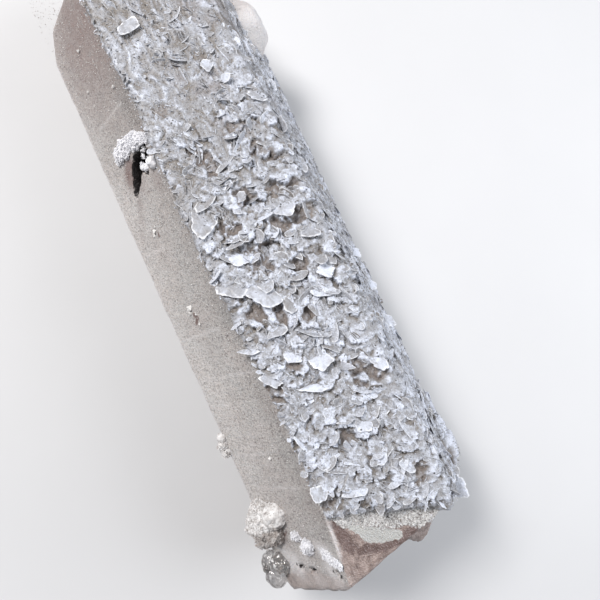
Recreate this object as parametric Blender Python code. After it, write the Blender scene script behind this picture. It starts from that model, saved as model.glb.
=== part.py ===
"""Quartz floater: a loose quartz crystal, half covered by a crust of thin white plates.

The crystal lies on one prism face. X runs along its axis and Z points up. The origin is on the
resting face, below the axis, half way along the crystal.
"""

import math

import bmesh
import bpy
import numpy as np
from mathutils import Matrix, Vector

MM = 0.001  # the sizes and places below are in millimetres

# The host crystal: a hexagonal prism whose faces are named by the way they look round the axis.
PRISM_SIDE = 20.6
ACROSS_FLATS = PRISM_SIDE * math.sqrt(3.0)
AXIS_HEIGHT = ACROSS_FLATS / 2.0
TOP, FROSTED, LOWER_LEFT, REST, LOWER_RIGHT, UPPER_RIGHT = 90, 150, 210, 270, 330, 30
PRISM_FACES = (TOP, FROSTED, LOWER_LEFT, REST, LOWER_RIGHT, UPPER_RIGHT)
PYRAMID_ANGLE = math.radians(51.8)  # between the axis and a pyramid face's normal, as in all quartz
BLANK_HALF_LENGTH = 120.0

# The pointed end at -X: where each pyramid face would meet the axis.
POINT_REACH = {TOP: 75.0, FROSTED: 77.0, LOWER_LEFT: 72.5, REST: 79.0, LOWER_RIGHT: 74.0, UPPER_RIGHT: 80.0}

# The blunt end at +X: a gently sloping shoulder, an oblique end, and pyramid faces at the corners.
SHOULDER_START = 53.0
SHOULDER_SLOPE = math.radians(7.0)
END_CORNER = (66.9, -11.0, 33.9)
END_NORMAL = (0.98, 0.195, -0.01)
CORNER_REACH = {FROSTED: 68.7, LOWER_LEFT: 67.2, UPPER_RIGHT: 62.5, LOWER_RIGHT: 61.0}
REST_FACE_END = 58.0

# Small crystals grown in line with the host, fused to it: (x of the tip, y, z, side).
END_CRYSTALS = (
    (70.5, -11.5, 21.5, 6.6),
    (69.5, 5.5, 27.5, 6.6),
    (73.5, -5.0, 14.0, 8.0),
    (68.5, 6.0, 20.0, 6.3),
    (68.0, 5.0, 10.5, 6.5),
    (65.4, 12.5, 18.0, 6.2),
    (69.6, -12.0, 12.5, 5.0),
)
END_CRYSTAL_LENGTH = 14.0
SHOULDER_CRYSTAL = ((-42.6, 17.8, 20.5), 7.0, 10.3)  # centre, side and half length
SMALL_REACH = {TOP: 0.90, LOWER_LEFT: 0.94, LOWER_RIGHT: 0.97, FROSTED: 1.04, REST: 1.08, UPPER_RIGHT: 1.11}

# The pit in the frosted face: its middle (along, down from the top edge), its half sizes along
# itself, across itself and into the face, and its turn from the crystal's length.
PIT_PLACE = (-18.2, 7.2)
PIT_HALF_SIZES = (5.0, 1.3, 2.4)
PIT_TURN = math.radians(61.0)
PIT_ROUGHNESS = 0.16
PIT_SEED = 5

# The crust, laid out on the unrolled prism: x along the axis, u across the faces from the edge
# between the frosted and the top face.
GAP = 0.3
CRUST_THICKNESS = 1.1
CRUST_RELIEF = 0.45
BORDER_THICKNESS = 0.7
CRUST_STATIONS = (-2.0, 6.0, 14.0, 18.0, 22.0, 34.0, 42.0, 50.0)
CRUST_START = (-49.5, -50.5, -52.0, -53.0, -52.5, -47.0, -35.5, -44.0)
CRUST_END = (52.5, 55.5, 58.5, 60.5, 62.5, 62.0, 58.0, 52.0)
CRUST_EDGE_LENGTHS = (-60.0, -45.0, -25.0, -5.0, 15.0, 35.0, 50.0, 70.0)
CRUST_LOW_EDGE = (-1.6, -1.3, -0.2, -0.9, 0.2, 0.6, 0.4, 0.6)
CRUST_HIGH_EDGE = (46.0, 47.5, 49.0, 47.5, 49.5, 48.0, 47.0, 45.5)
CRUST_COLUMNS = 27
CRUST_ROWS = (6, 6, 2)  # on the top, upper right and lower right faces
CRUST_SHAKE = (0.9, 0.4)  # how far a corner of its grid moves, along and across
CRUST_SEED = 41
CORNER_ROUNDING = 2.2
CORNER_TURN = math.radians(30.0)

# The plates spread over the crust
PLATE_SPACING = 5.75
PLATE_RADIUS = (2.1, 3.3)
PLATE_SHAPE = 0.86  # length over width
PLATE_THICKNESS = (0.42, 0.62)
PLATE_CORNERS = (5, 7)
PLATE_TILT = (math.radians(18.0), math.radians(62.0))
PLATE_HEIGHT = 1.5  # of a plate's middle over the quartz
PLATE_UNEVENNESS = (0.84, 1.1)  # of a corner's distance from the middle
PLATE_TURN = 0.22  # of a corner round the middle, as a part of the step between corners
PLATE_SHAKE = 0.3  # of a plate's place, as a part of the spacing
PLATE_SPAN_ALONG = (0.025, 0.975)  # the part of the crust that has plates
PLATE_SPAN_AROUND = (0.04, 0.96)
FLAT_START = 27.0  # beyond this u the plates lie flatter
FLAT_TILT = 0.35

# The largest plates, each in its own place: x, u, width, length, tilt, and the heading that it
# rises along, from +X towards +u, in degrees.
LEADING_PLATES = (
    (6.6, 5.3, 4.6, 3.6, 22, -25),
    (-1.5, 1.9, 4.9, 6.0, 20, -40),
    (11.0, 1.6, 6.1, 4.2, 24, -30),
    (1.4, 15.7, 4.7, 4.4, 26, 5),
    (7.1, 18.5, 4.0, 4.4, 30, -10),
    (14.7, 18.0, 4.3, 2.8, 18, -25),
    (13.9, 6.5, 6.6, 5.8, 18, -20),
    (17.6, 9.6, 3.6, 3.2, 24, -60),
    (12.2, 36.6, 3.2, 5.0, 24, 60),
    (20.1, 36.3, 3.6, 5.2, 26, 70),
    (28.2, 35.6, 3.8, 6.5, 24, 60),
    (25.8, 6.4, 4.0, 3.4, 28, -30),
    (28.7, 10.6, 4.5, 3.6, 22, 0),
    (28.2, 1.6, 4.3, 2.6, 30, -50),
    (32.5, 7.8, 5.2, 2.4, 40, -20),
    (48.4, 1.2, 3.4, 3.2, 25, -60),
    (33.2, 19.7, 3.2, 4.2, 24, 15),
    (31.3, 13.8, 2.2, 5.6, 62, 60),
    (41.8, 12.7, 3.0, 3.4, 30, -15),
    (-28.5, 14.6, 3.0, 3.1, 24, -20),
    (-19.6, 20.0, 5.0, 3.0, 20, -10),
    (-40.0, 4.0, 6.0, 3.6, 16, 20),
    (63.6, 31.5, 5.4, 5.0, 60, 90),
)
LEADING_THICKNESS = 0.55
LEADING_CORNERS = 7
LEADING_ROOM = 2.6  # between a leading plate's middle and that of any smaller one

# Rounded lobes along the crust's far edge: x, u, radius, height of the top over the quartz.
CRUST_LOBES = (
    (-25.0, 41.0, 2.4, 2.3),
    (-4.5, 41.0, 2.2, 2.0),
    (12.8, 41.0, 2.6, 2.0),
    (20.8, 41.0, 2.4, 2.4),
    (30.0, 41.0, 2.4, 2.0),
    (44.5, 41.0, 2.2, 2.1),
    (49.2, 40.5, 2.6, 3.1),
    (53.6, 39.5, 3.4, 3.8),
    (57.4, 38.5, 3.8, 4.3),
    (60.8, 37.0, 2.8, 3.4),
)
LOBE_ROUGHNESS = 0.08
LOBE_SEED = 43

# Lumpy growths on the frosted face: (x, down, radius) of each lump, down from its top edge.
END_KNOB_LUMPS = (
    (51.6, 17.3, 2.5),
    (53.9, 19.2, 2.8),
    (52.3, 13.4, 2.4),
    (56.4, 19.3, 2.4),
    (55.4, 15.8, 2.3),
    (53.5, 16.6, 2.9),
)
GLASSY_KNOB_LUMPS = (
    (62.3, 18.9, 2.2),
    (64.7, 21.8, 2.2),
    (62.1, 22.0, 2.0),
)
PIT_CRUST_LUMPS = (
    (-22.7, 12.4, 0.9),
    (-23.2, 10.6, 1.1),
    (-22.7, 8.7, 1.2),
    (-22.0, 6.3, 1.2),
    (-21.5, 4.0, 1.2),
    (-20.7, 2.6, 1.0),
    (-19.4, 2.0, 0.9),
    (-18.0, 2.1, 0.9),
    (-16.7, 2.7, 1.2),
    (-17.1, 4.6, 1.0),
)
END_RIDGE_LUMPS = (
    (56.5, 9.9, 1.1),
    (57.4, 8.8, 0.8),
    (58.3, 7.7, 1.35),
    (58.6, 5.8, 1.0),
    (58.6, 4.0, 1.1),
    (59.3, 2.6, 1.1),
    (60.6, 2.9, 1.0),
    (62.0, 2.2, 1.1),
    (63.3, 2.9, 1.2),
)
EDGE_GROWTH_LUMPS = (
    (35.6, 20.3, 0.9),
    (37.0, 21.0, 1.1),
    (38.5, 20.9, 1.0),
)
LUMP_RISE = 0.25  # how far a lump's middle stands out of the face, as a part of its radius
LUMP_ROUGHNESS = 0.16


def clear_scene():
    """Remove every object that the scene starts with."""
    for obj in list(bpy.data.objects):
        bpy.data.objects.remove(obj, do_unlink=True)


def make_material(name, colour, roughness, transmission=0.0):
    """A Principled material of one colour."""
    material = bpy.data.materials.new(name)
    material.use_nodes = True
    shader = material.node_tree.nodes["Principled BSDF"]
    shader.inputs["Base Color"].default_value = (*colour, 1.0)
    shader.inputs["Roughness"].default_value = roughness
    shader.inputs["Metallic"].default_value = 0.0
    shader.inputs["Transmission Weight"].default_value = transmission
    material.diffuse_color = (*colour, 1.0)
    return material


def add_object(name, bm, material=None):
    """Turn a bmesh in millimetres into an object in metres; one with no material is a cutter or guide."""
    bmesh.ops.recalc_face_normals(bm, faces=bm.faces)
    mesh = bpy.data.meshes.new(name)
    bm.to_mesh(mesh)
    bm.free()
    mesh.transform(Matrix.Scale(MM, 4))
    obj = bpy.data.objects.new(name, mesh)
    bpy.context.scene.collection.objects.link(obj)
    if material is None:
        obj.hide_render = True
        obj.display_type = "WIRE"
    else:
        mesh.materials.append(material)
    return obj


def add_boolean(obj, operation, other, own_overlaps=False):
    """Join another mesh to this object, or cut it away."""
    modifier = obj.modifiers.new(f"{operation.lower()} {other.name}", "BOOLEAN")
    modifier.operation = operation
    modifier.solver = "EXACT"
    modifier.use_self = own_overlaps
    modifier.object = other


def islands(bm):
    """The groups of faces that hang together, largest first."""
    waiting = set(bm.faces)
    groups = []
    while waiting:
        group = []
        edge_of_group = [waiting.pop()]
        while edge_of_group:
            face = edge_of_group.pop()
            group.append(face)
            for edge in face.edges:
                near = [other for other in edge.link_faces if other in waiting]
                waiting.difference_update(near)
                edge_of_group.extend(near)
        groups.append(group)
    return sorted(groups, key=len, reverse=True)


def keep_outer_skin(obj):
    """Apply the object's Booleans, and drop the pockets that its pieces enclose and any loose chip."""
    graph = bpy.context.evaluated_depsgraph_get()
    bm = bmesh.new()
    bm.from_object(obj, graph)
    inner = [face for group in islands(bm)[1:] for face in group]
    bmesh.ops.delete(bm, geom=inner, context="FACES")
    obj.modifiers.clear()
    bm.to_mesh(obj.data)
    bm.free()


def around_axis(degrees):
    """The unit vector square to the axis that points this way round it."""
    angle = math.radians(degrees)
    return Vector((0.0, math.cos(angle), math.sin(angle)))


def pyramid_normal(degrees, end):
    """The normal of a pyramid face over one prism face, at the +X end (1) or the -X end (-1)."""
    along = Vector((end * math.cos(PYRAMID_ANGLE), 0.0, 0.0))
    return along + math.sin(PYRAMID_ANGLE) * around_axis(degrees)


def prism_planes(side, axis, grow):
    """(point, normal) of the six prism faces of a crystal, moved outwards by `grow`."""
    apothem = side * math.sqrt(3.0) / 2.0 + grow
    return [(axis + apothem * around_axis(face), around_axis(face)) for face in PRISM_FACES]


def point_planes(axis, reach, end, grow):
    """(point, normal) of the pyramid faces at one end, each through its own point on the axis."""
    planes = []
    for face, along in reach.items():
        normal = pyramid_normal(face, end)
        planes.append((axis + Vector((end * along, 0.0, 0.0)) + grow * normal, normal))
    return planes


def blunt_end_planes(grow):
    """(point, normal) of the faces of the host crystal's blunt end."""
    shoulder = Vector((math.sin(SHOULDER_SLOPE), 0.0, math.cos(SHOULDER_SLOPE)))
    oblique = Vector(END_NORMAL).normalized()
    planes = [
        (Vector((SHOULDER_START, 0.0, ACROSS_FLATS)) + grow * shoulder, shoulder),
        (Vector(END_CORNER) + grow * oblique, oblique),
    ]
    for face, along in CORNER_REACH.items():
        normal = pyramid_normal(face, 1)
        corner = PRISM_SIDE * (1.0 if math.cos(math.radians(face)) > 0.0 else -1.0)
        planes.append((Vector((along, corner, AXIS_HEIGHT)) + grow * normal, normal))
    normal = pyramid_normal(REST, 1)
    planes.append((Vector((REST_FACE_END, 0.0, 0.0)) + grow * normal, normal))
    return planes


def clipped_block(middle, half_length, planes):
    """A block cut down to the solid inside all of the planes."""
    bm = bmesh.new()
    bmesh.ops.create_cube(bm, size=2.0 * half_length, matrix=Matrix.Translation(middle))
    for point, normal in planes:
        geometry = bm.verts[:] + bm.edges[:] + bm.faces[:]
        cut = bmesh.ops.bisect_plane(bm, geom=geometry, plane_co=point, plane_no=normal, clear_outer=True)
        rim = [item for item in cut["geom_cut"] if isinstance(item, bmesh.types.BMEdge)]
        if rim:
            bmesh.ops.contextual_create(bm, geom=rim)
    return bm


def host_crystal(grow=0.0):
    """The host crystal's main faces, moved outwards by `grow`."""
    axis = Vector((0.0, 0.0, AXIS_HEIGHT))
    planes = prism_planes(PRISM_SIDE, axis, grow)
    planes += point_planes(axis, POINT_REACH, -1, grow)
    planes += blunt_end_planes(grow)
    return clipped_block(axis, BLANK_HALF_LENGTH, planes)


def small_crystal(middle, side, half_length, grow=0.0):
    """A small crystal in line with the host, pointed at both ends."""
    planes = prism_planes(side, middle, grow)
    for end in (-1, 1):
        reach = {face: half_length * share for face, share in SMALL_REACH.items()}
        planes += point_planes(middle, reach, end, grow)
    return clipped_block(middle, 2.0 * half_length, planes)


def small_crystals(grow=0.0):
    """One mesh of all the small crystals fused to the host."""
    bm = small_crystal(Vector(SHOULDER_CRYSTAL[0]), SHOULDER_CRYSTAL[1], SHOULDER_CRYSTAL[2], grow)
    for tip, y, z, side in END_CRYSTALS:
        half = END_CRYSTAL_LENGTH / 2.0
        other = small_crystal(Vector((tip - half, y, z)), side, half, grow)
        mesh = bpy.data.meshes.new("small crystal")
        other.to_mesh(mesh)
        other.free()
        bm.from_mesh(mesh)
        bpy.data.meshes.remove(mesh)
    return bm


def roughen(verts, amount, rng):
    """Move each corner out or in, by up to this part of its distance from the middle."""
    for vertex in verts:
        vertex.co *= 1.0 + rng.uniform(-amount, amount)


def on_frosted_face(x, down, height=0.0):
    """A point on the frosted face: `down` from its top edge, `height` out of it."""
    top_edge = Vector((x, -PRISM_SIDE / 2.0, ACROSS_FLATS))
    fall = Vector((0.0, -0.5, -math.sqrt(3.0) / 2.0))
    return top_edge + down * fall + height * around_axis(FROSTED)


def pit_cutter():
    """A faceted lens, sunk into the frosted face."""
    bm = bmesh.new()
    bmesh.ops.create_icosphere(bm, subdivisions=2, radius=1.0)
    roughen(bm.verts, PIT_ROUGHNESS, np.random.default_rng(PIT_SEED))
    along = Vector((1.0, 0.0, 0.0))
    inward = -around_axis(FROSTED)
    across = inward.cross(along)
    frame = Matrix((along, across, inward)).transposed().to_4x4()
    sizes = Matrix.Diagonal((*PIT_HALF_SIZES, 1.0))
    place = Matrix.Translation(on_frosted_face(*PIT_PLACE))
    bmesh.ops.transform(bm, matrix=place @ frame @ Matrix.Rotation(PIT_TURN, 4, "Z") @ sizes, verts=bm.verts)
    return bm


def build_quartz(material):
    """The host crystal with its small crystals and its pit."""
    quartz = add_object("quartz_crystal", host_crystal(), material)
    add_boolean(quartz, "UNION", add_object("small_crystals", small_crystals()), own_overlaps=True)
    add_boolean(quartz, "DIFFERENCE", add_object("pit", pit_cutter()))
    return quartz


def build_clearance():
    """The host crystal grown by the gap, which keeps what grows on it clear of it."""
    clearance = add_object("clearance", host_crystal(GAP))
    grown = add_object("small_crystals_clearance", small_crystals(GAP))
    add_boolean(clearance, "UNION", grown, own_overlaps=True)
    return clearance


def unrolled(x, u, height):
    """(point, across, outward) of a place on the unrolled prism, leaning over where it nears an edge."""
    faces = (TOP, UPPER_RIGHT, LOWER_RIGHT)
    index = min(max(int(u // PRISM_SIDE), 0), len(faces) - 1)
    outward = around_axis(faces[index])
    across = outward.cross(Vector((1.0, 0.0, 0.0)))
    offset = u - PRISM_SIDE * (index + 0.5)
    near = max(0.0, 1.0 - (PRISM_SIDE / 2.0 - abs(offset)) / CORNER_ROUNDING)
    turn = math.copysign(near * CORNER_TURN, offset)
    leaning = math.cos(turn) * outward + math.sin(turn) * across
    point = Vector((x, 0.0, AXIS_HEIGHT)) + AXIS_HEIGHT * outward + offset * across + height * leaning
    return point, leaning.cross(Vector((1.0, 0.0, 0.0))), leaning


def crust_limits(along, around):
    """The x and u of a place that is `along` and `around` the crust, both from 0 to 1."""
    rows = np.cumsum((0,) + CRUST_ROWS) / sum(CRUST_ROWS)
    usual = np.interp(around, rows, (0.0, PRISM_SIDE, 2.0 * PRISM_SIDE, CRUST_HIGH_EDGE[0]))
    start = np.interp(usual, CRUST_STATIONS, CRUST_START)
    end = np.interp(usual, CRUST_STATIONS, CRUST_END)
    x = start + along * (end - start)
    low = np.interp(x, CRUST_EDGE_LENGTHS, CRUST_LOW_EDGE)
    high = np.interp(x, CRUST_EDGE_LENGTHS, CRUST_HIGH_EDGE)
    return float(x), float(np.interp(around, rows, (low, PRISM_SIDE, 2.0 * PRISM_SIDE, high)))


def crust_base():
    """A relief over the prism faces, closed by walls that run in to the crystal's axis."""
    rng = np.random.default_rng(CRUST_SEED)
    bm = bmesh.new()
    rows = sum(CRUST_ROWS)
    corner_rows = np.cumsum(CRUST_ROWS)[:2]
    grid = []
    for i in range(CRUST_COLUMNS + 1):
        line = []
        for j in range(rows + 1):
            x, u = crust_limits(i / CRUST_COLUMNS, j / rows)
            at_border = i in (0, CRUST_COLUMNS) or j in (0, rows)
            x += rng.uniform(-1.0, 1.0) * CRUST_SHAKE[0]
            u += 0.0 if j in corner_rows else rng.uniform(-1.0, 1.0) * CRUST_SHAKE[1]
            height = CRUST_THICKNESS + rng.uniform(-1.0, 1.0) * CRUST_RELIEF
            point = unrolled(x, u, GAP + (BORDER_THICKNESS if at_border else height))[0]
            line.append(bm.verts.new(point))
        grid.append(line)
    axis = [bm.verts.new((line[0].co.x, 0.0, AXIS_HEIGHT)) for line in grid]
    for i in range(CRUST_COLUMNS):
        for j in range(rows):
            bm.faces.new((grid[i][j], grid[i + 1][j], grid[i + 1][j + 1], grid[i][j + 1]))
        bm.faces.new((axis[i], axis[i + 1], grid[i + 1][0], grid[i][0]))
        bm.faces.new((axis[i + 1], axis[i], grid[i][rows], grid[i + 1][rows]))
    for j in range(rows):
        bm.faces.new((axis[0], grid[0][j], grid[0][j + 1]))
        bm.faces.new((axis[-1], grid[-1][j + 1], grid[-1][j]))
    bmesh.ops.triangulate(bm, faces=bm.faces)
    return bm


def add_plate(bm, place, width, length, thickness, tilt, heading, corners, rng):
    """A thin plate with an uneven outline, its middle over a place (x, u), tilted out of the crust."""
    middle, across, outward = unrolled(*place, PLATE_HEIGHT)
    rise = math.cos(heading) * Vector((1.0, 0.0, 0.0)) + math.sin(heading) * across
    climb = math.cos(tilt) * rise + math.sin(tilt) * outward
    face = math.cos(tilt) * outward - math.sin(tilt) * rise
    level = climb.cross(face)
    outline = []
    for k in range(corners):
        angle = 2.0 * math.pi * (k + rng.uniform(-PLATE_TURN, PLATE_TURN)) / corners
        reach = 0.5 * rng.uniform(*PLATE_UNEVENNESS)
        offset = reach * (width * math.cos(angle) * level + length * math.sin(angle) * climb)
        outline.append(bm.verts.new(middle + offset - 0.5 * thickness * face))
    lower = bm.faces.new(outline)
    raised = bmesh.ops.extrude_face_region(bm, geom=[lower])["geom"]
    corners_up = [item for item in raised if isinstance(item, bmesh.types.BMVert)]
    bmesh.ops.translate(bm, verts=corners_up, vec=thickness * face)


def add_leading_plates(bm, rng):
    """The largest plates."""
    for x, u, width, length, tilt, heading in LEADING_PLATES:
        turns = (math.radians(tilt), math.radians(heading))
        add_plate(bm, (x, u), width, length, LEADING_THICKNESS, *turns, LEADING_CORNERS, rng)


def add_spread_plates(bm, rng):
    """Smaller plates on a shaken grid, away from the leading ones."""
    rows = int(CRUST_HIGH_EDGE[2] / PLATE_SPACING)
    columns = int((CRUST_END[4] - CRUST_START[1]) / PLATE_SPACING)
    for j in range(rows):
        for i in range(columns + 1):
            around = (j + 0.5 + rng.uniform(-PLATE_SHAKE, PLATE_SHAKE)) / rows
            along = (i + 0.25 + 0.5 * (j % 2) + rng.uniform(-PLATE_SHAKE, PLATE_SHAKE)) / (columns + 0.5)
            along = np.interp(along, (0.0, 1.0), PLATE_SPAN_ALONG)
            x, u = crust_limits(along, np.interp(around, (0.0, 1.0), PLATE_SPAN_AROUND))
            width = 2.0 * rng.uniform(*PLATE_RADIUS)
            thickness = rng.uniform(*PLATE_THICKNESS)
            tilt = rng.uniform(*PLATE_TILT) * (FLAT_TILT if u > FLAT_START else 1.0)
            heading = rng.uniform(0.0, 2.0 * math.pi)
            corners = int(rng.integers(PLATE_CORNERS[0], PLATE_CORNERS[1] + 1))
            if min(math.hypot(x - row[0], u - row[1]) for row in LEADING_PLATES) > LEADING_ROOM:
                add_plate(bm, (x, u), width, PLATE_SHAPE * width, thickness, tilt, heading, corners, rng)


def add_lobes(bm, rng):
    """The rounded lobes of the crust's far edge."""
    for x, u, radius, height in CRUST_LOBES:
        made = bmesh.ops.create_icosphere(bm, subdivisions=1, radius=radius)["verts"]
        roughen(made, LOBE_ROUGHNESS, rng)
        bmesh.ops.translate(bm, verts=made, vec=unrolled(x, u, height - radius)[0])


def crust_growths():
    """One mesh of the crust's plates and lobes."""
    bm = bmesh.new()
    rng = np.random.default_rng(CRUST_SEED + 1)
    add_leading_plates(bm, rng)
    add_spread_plates(bm, rng)
    add_lobes(bm, np.random.default_rng(LOBE_SEED))
    return bm


def build_crust(clearance, material):
    """The crust: a relief, its plates and its lobes in one solid, kept clear of the quartz."""
    crust = add_object("blade_crust", crust_base(), material)
    add_boolean(crust, "UNION", add_object("crust_growths", crust_growths()), own_overlaps=True)
    add_boolean(crust, "DIFFERENCE", clearance)
    keep_outer_skin(crust)
    return crust


def lumps(places, seed, detail):
    """A cluster of rough overlapping lumps on the frosted face."""
    rng = np.random.default_rng(seed)
    bm = bmesh.new()
    for x, down, radius in places:
        made = bmesh.ops.create_icosphere(bm, subdivisions=detail, radius=radius)["verts"]
        roughen(made, LUMP_ROUGHNESS, rng)
        bmesh.ops.translate(bm, verts=made, vec=on_frosted_face(x, down, LUMP_RISE * radius))
    return bm


def build_growth(name, places, seed, clearance, material, detail=1):
    """A growth of lumps fused together and kept clear of the quartz.

    The seed gives its roughness, and the detail is how often each lump's faces are divided.
    """
    first = add_object(name, lumps(places[:1], seed, detail), material)
    add_boolean(first, "UNION", add_object(f"{name}_lumps", lumps(places[1:], seed + 1, detail)), True)
    add_boolean(first, "DIFFERENCE", clearance)
    keep_outer_skin(first)
    return first


def main():
    """Build every piece."""
    clear_scene()
    quartz = make_material("frosted_quartz", (0.62, 0.55, 0.50), 0.45, 0.2)
    plates = make_material("pearly_plates", (0.80, 0.80, 0.83), 0.30, 0.1)
    knob = make_material("white_aggregate", (0.78, 0.75, 0.73), 0.55)
    glassy = make_material("glassy_knob", (0.60, 0.60, 0.60), 0.15, 0.5)
    build_quartz(quartz)
    clearance = build_clearance()
    build_crust(clearance, plates)
    build_growth("end_knob", END_KNOB_LUMPS, 11, clearance, knob, detail=2)
    build_growth("glassy_knob", GLASSY_KNOB_LUMPS, 21, clearance, glassy, detail=2)
    build_growth("pit_crust", PIT_CRUST_LUMPS, 31, clearance, plates)
    build_growth("end_ridge", END_RIDGE_LUMPS, 51, clearance, plates)
    build_growth("edge_growth", EDGE_GROWTH_LUMPS, 61, clearance, knob)


main()
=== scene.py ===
"""Quartz floater: a loose quartz crystal, crusted on one side with thin pearly plates.

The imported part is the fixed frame. Sizes here are in millimetres, in that frame: +X along the
crystal to its blunt end, +Y to the crusted side, +Z up from the face that it rests on. The crust
is laid out on the unrolled prism: x along the axis, u across the faces from the edge between the
frosted face and the top face.
"""

import logging
import math
from dataclasses import dataclass
from enum import Enum
from typing import NamedTuple

import bpy
import numpy as np
from mathutils import Matrix, Vector


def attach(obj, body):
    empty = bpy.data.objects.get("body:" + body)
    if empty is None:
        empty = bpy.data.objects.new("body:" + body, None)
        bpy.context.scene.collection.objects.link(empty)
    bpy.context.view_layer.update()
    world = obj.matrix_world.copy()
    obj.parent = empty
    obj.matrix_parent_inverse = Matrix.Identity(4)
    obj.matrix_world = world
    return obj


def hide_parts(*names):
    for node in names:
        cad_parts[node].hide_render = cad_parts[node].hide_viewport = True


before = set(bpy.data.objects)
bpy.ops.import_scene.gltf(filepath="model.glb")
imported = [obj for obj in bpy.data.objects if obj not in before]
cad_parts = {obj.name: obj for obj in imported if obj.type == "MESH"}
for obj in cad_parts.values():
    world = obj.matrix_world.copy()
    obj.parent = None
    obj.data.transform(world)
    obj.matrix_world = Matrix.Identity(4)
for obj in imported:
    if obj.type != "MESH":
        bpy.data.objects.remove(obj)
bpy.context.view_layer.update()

log = logging.getLogger("quartz_floater")

MM = 0.001
BODY = "root"

Socket = bpy.types.NodeSocket
# A place or a linear colour, a bent line with a half width at each point, and rows of numbers.
Triple = tuple[float, float, float]
Line = tuple[Triple, ...]
Table = tuple[tuple[float, ...], ...]

X_AXIS = np.array((1.0, 0.0, 0.0))
# The prism lies on one face; every pyramid face of quartz leans by the same angle.
PRISM_SIDE = 20.6
ACROSS_FLATS = PRISM_SIDE * math.sqrt(3.0)
AXIS_HEIGHT = ACROSS_FLATS / 2.0
FACE_TURN = 60.0
PYRAMID_ANGLE = math.radians(51.8)
# The blunt end: a shoulder that slopes down the top face, an oblique end face, small crystals.
SHOULDER_START = 53.0
SHOULDER_SLOPE = math.radians(7.0)
END_CORNER = (66.9, -11.0, 33.9)
END_NORMAL = (0.98, 0.195, -0.01)
REST_FACE_END = 58.0
END_CRYSTAL_LENGTH = 14.0
# Between the quartz and what grows on it.
GAP = 0.3
QUARTZ_IOR = 1.54


class Face(Enum):
    """The prism's faces, by the angle of their normals round the axis in degrees."""

    UPPER_RIGHT = 30
    TOP = 90
    FROSTED = 150
    LOWER_LEFT = 210
    REST = 270
    LOWER_RIGHT = 330


# Where the pyramid faces' planes cross the axis at the pointed end, from the middle.
POINT_REACH = {
    Face.TOP: 75.0,
    Face.FROSTED: 77.0,
    Face.LOWER_LEFT: 72.5,
    Face.REST: 79.0,
    Face.LOWER_RIGHT: 74.0,
    Face.UPPER_RIGHT: 80.0,
}
# Where the planes at the blunt end's corners cross the level of the axis at the prism's sides.
CORNER_REACH = {Face.FROSTED: 68.7, Face.LOWER_LEFT: 67.2, Face.UPPER_RIGHT: 62.5, Face.LOWER_RIGHT: 61.0}
# The same for small crystals, as shares of their half length.
SMALL_REACH = {
    Face.TOP: 0.90,
    Face.LOWER_LEFT: 0.94,
    Face.LOWER_RIGHT: 0.97,
    Face.FROSTED: 1.04,
    Face.REST: 1.08,
    Face.UPPER_RIGHT: 1.11,
}
# Small crystals fused to the host: x of the tip, y, z, side.
END_CRYSTALS = (
    (70.5, -11.5, 21.5, 6.6),
    (69.5, 5.5, 27.5, 6.6),
    (73.5, -5.0, 14.0, 8.0),
    (68.5, 6.0, 20.0, 6.3),
    (68.0, 5.0, 10.5, 6.5),
    (65.4, 12.5, 18.0, 6.2),
    (69.6, -12.0, 12.5, 5.0),
)
# The smooth crystal on the side: its middle, side and half length.
SHOULDER_CRYSTAL = ((-42.6, 17.8, 20.5), 7.0, 10.3)

# The crust's outline on the unrolled prism: ends along x by u, edges along u by x.
CRUST_STATIONS = (-2.0, 6.0, 14.0, 18.0, 22.0, 34.0, 42.0, 50.0)
CRUST_START = (-49.5, -50.5, -52.0, -53.0, -52.5, -47.0, -35.5, -44.0)
CRUST_END = (52.5, 55.5, 58.5, 60.5, 62.5, 62.0, 58.0, 52.0)
CRUST_EDGE_LENGTHS = (-60.0, -45.0, -25.0, -5.0, 15.0, 35.0, 50.0, 70.0)
CRUST_LOW_EDGE = (-1.6, -1.3, -0.2, -0.9, 0.2, 0.6, 0.4, 0.6)
CRUST_HIGH_EDGE = (46.0, 47.5, 49.0, 47.5, 49.5, 48.0, 47.0, 45.5)
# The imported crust's rows on each face, which share out its width.
CRUST_ROWS = (6, 6, 2)
# How far from an edge of the prism the crust starts to turn over it.
CORNER_ROUNDING = 2.2
# Rounded lobes along the crust's far edge: x, u, radius, height of the top over the quartz.
CRUST_LOBES = (
    (-25.0, 41.0, 2.4, 2.3),
    (-4.5, 41.0, 2.2, 2.0),
    (12.8, 41.0, 2.6, 2.0),
    (20.8, 41.0, 2.4, 2.4),
    (30.0, 41.0, 2.4, 2.0),
    (44.5, 41.0, 2.2, 2.1),
    (49.2, 40.5, 2.6, 3.1),
    (53.6, 39.5, 3.4, 3.8),
    (57.4, 38.5, 3.8, 4.3),
    (60.8, 37.0, 2.8, 3.4),
)
# Smooth domes between the lobes, in the same form.
FAR_DOMES = (
    (26.6, 38.0, 2.3, 2.3),
    (30.4, 38.6, 2.2, 2.2),
    (35.2, 38.4, 2.0, 2.4),
    (40.6, 39.6, 1.8, 2.1),
    (33.0, 32.5, 1.6, 1.9),
    (47.0, 33.0, 2.0, 2.1),
    (17.0, 38.5, 2.2, 2.2),
    (3.5, 39.0, 2.0, 2.1),
    (-14.0, 39.0, 2.2, 2.2),
)


class Surface(NamedTuple):
    """A mesh before it is written: points in millimetres, groups of faces, values at the points."""

    points: np.ndarray
    faces: list[np.ndarray]
    values: dict[str, np.ndarray]


# ---------------------------------------------------------------- numbers and noise


def smooth_step(low: float, high: float, value: np.ndarray) -> np.ndarray:
    """0 below low, 1 above high, and the cubic 3t^2 - 2t^3 between them."""
    t = np.clip((value - low) / (high - low), 0.0, 1.0)
    return t * t * (3.0 - 2.0 * t)


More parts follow.
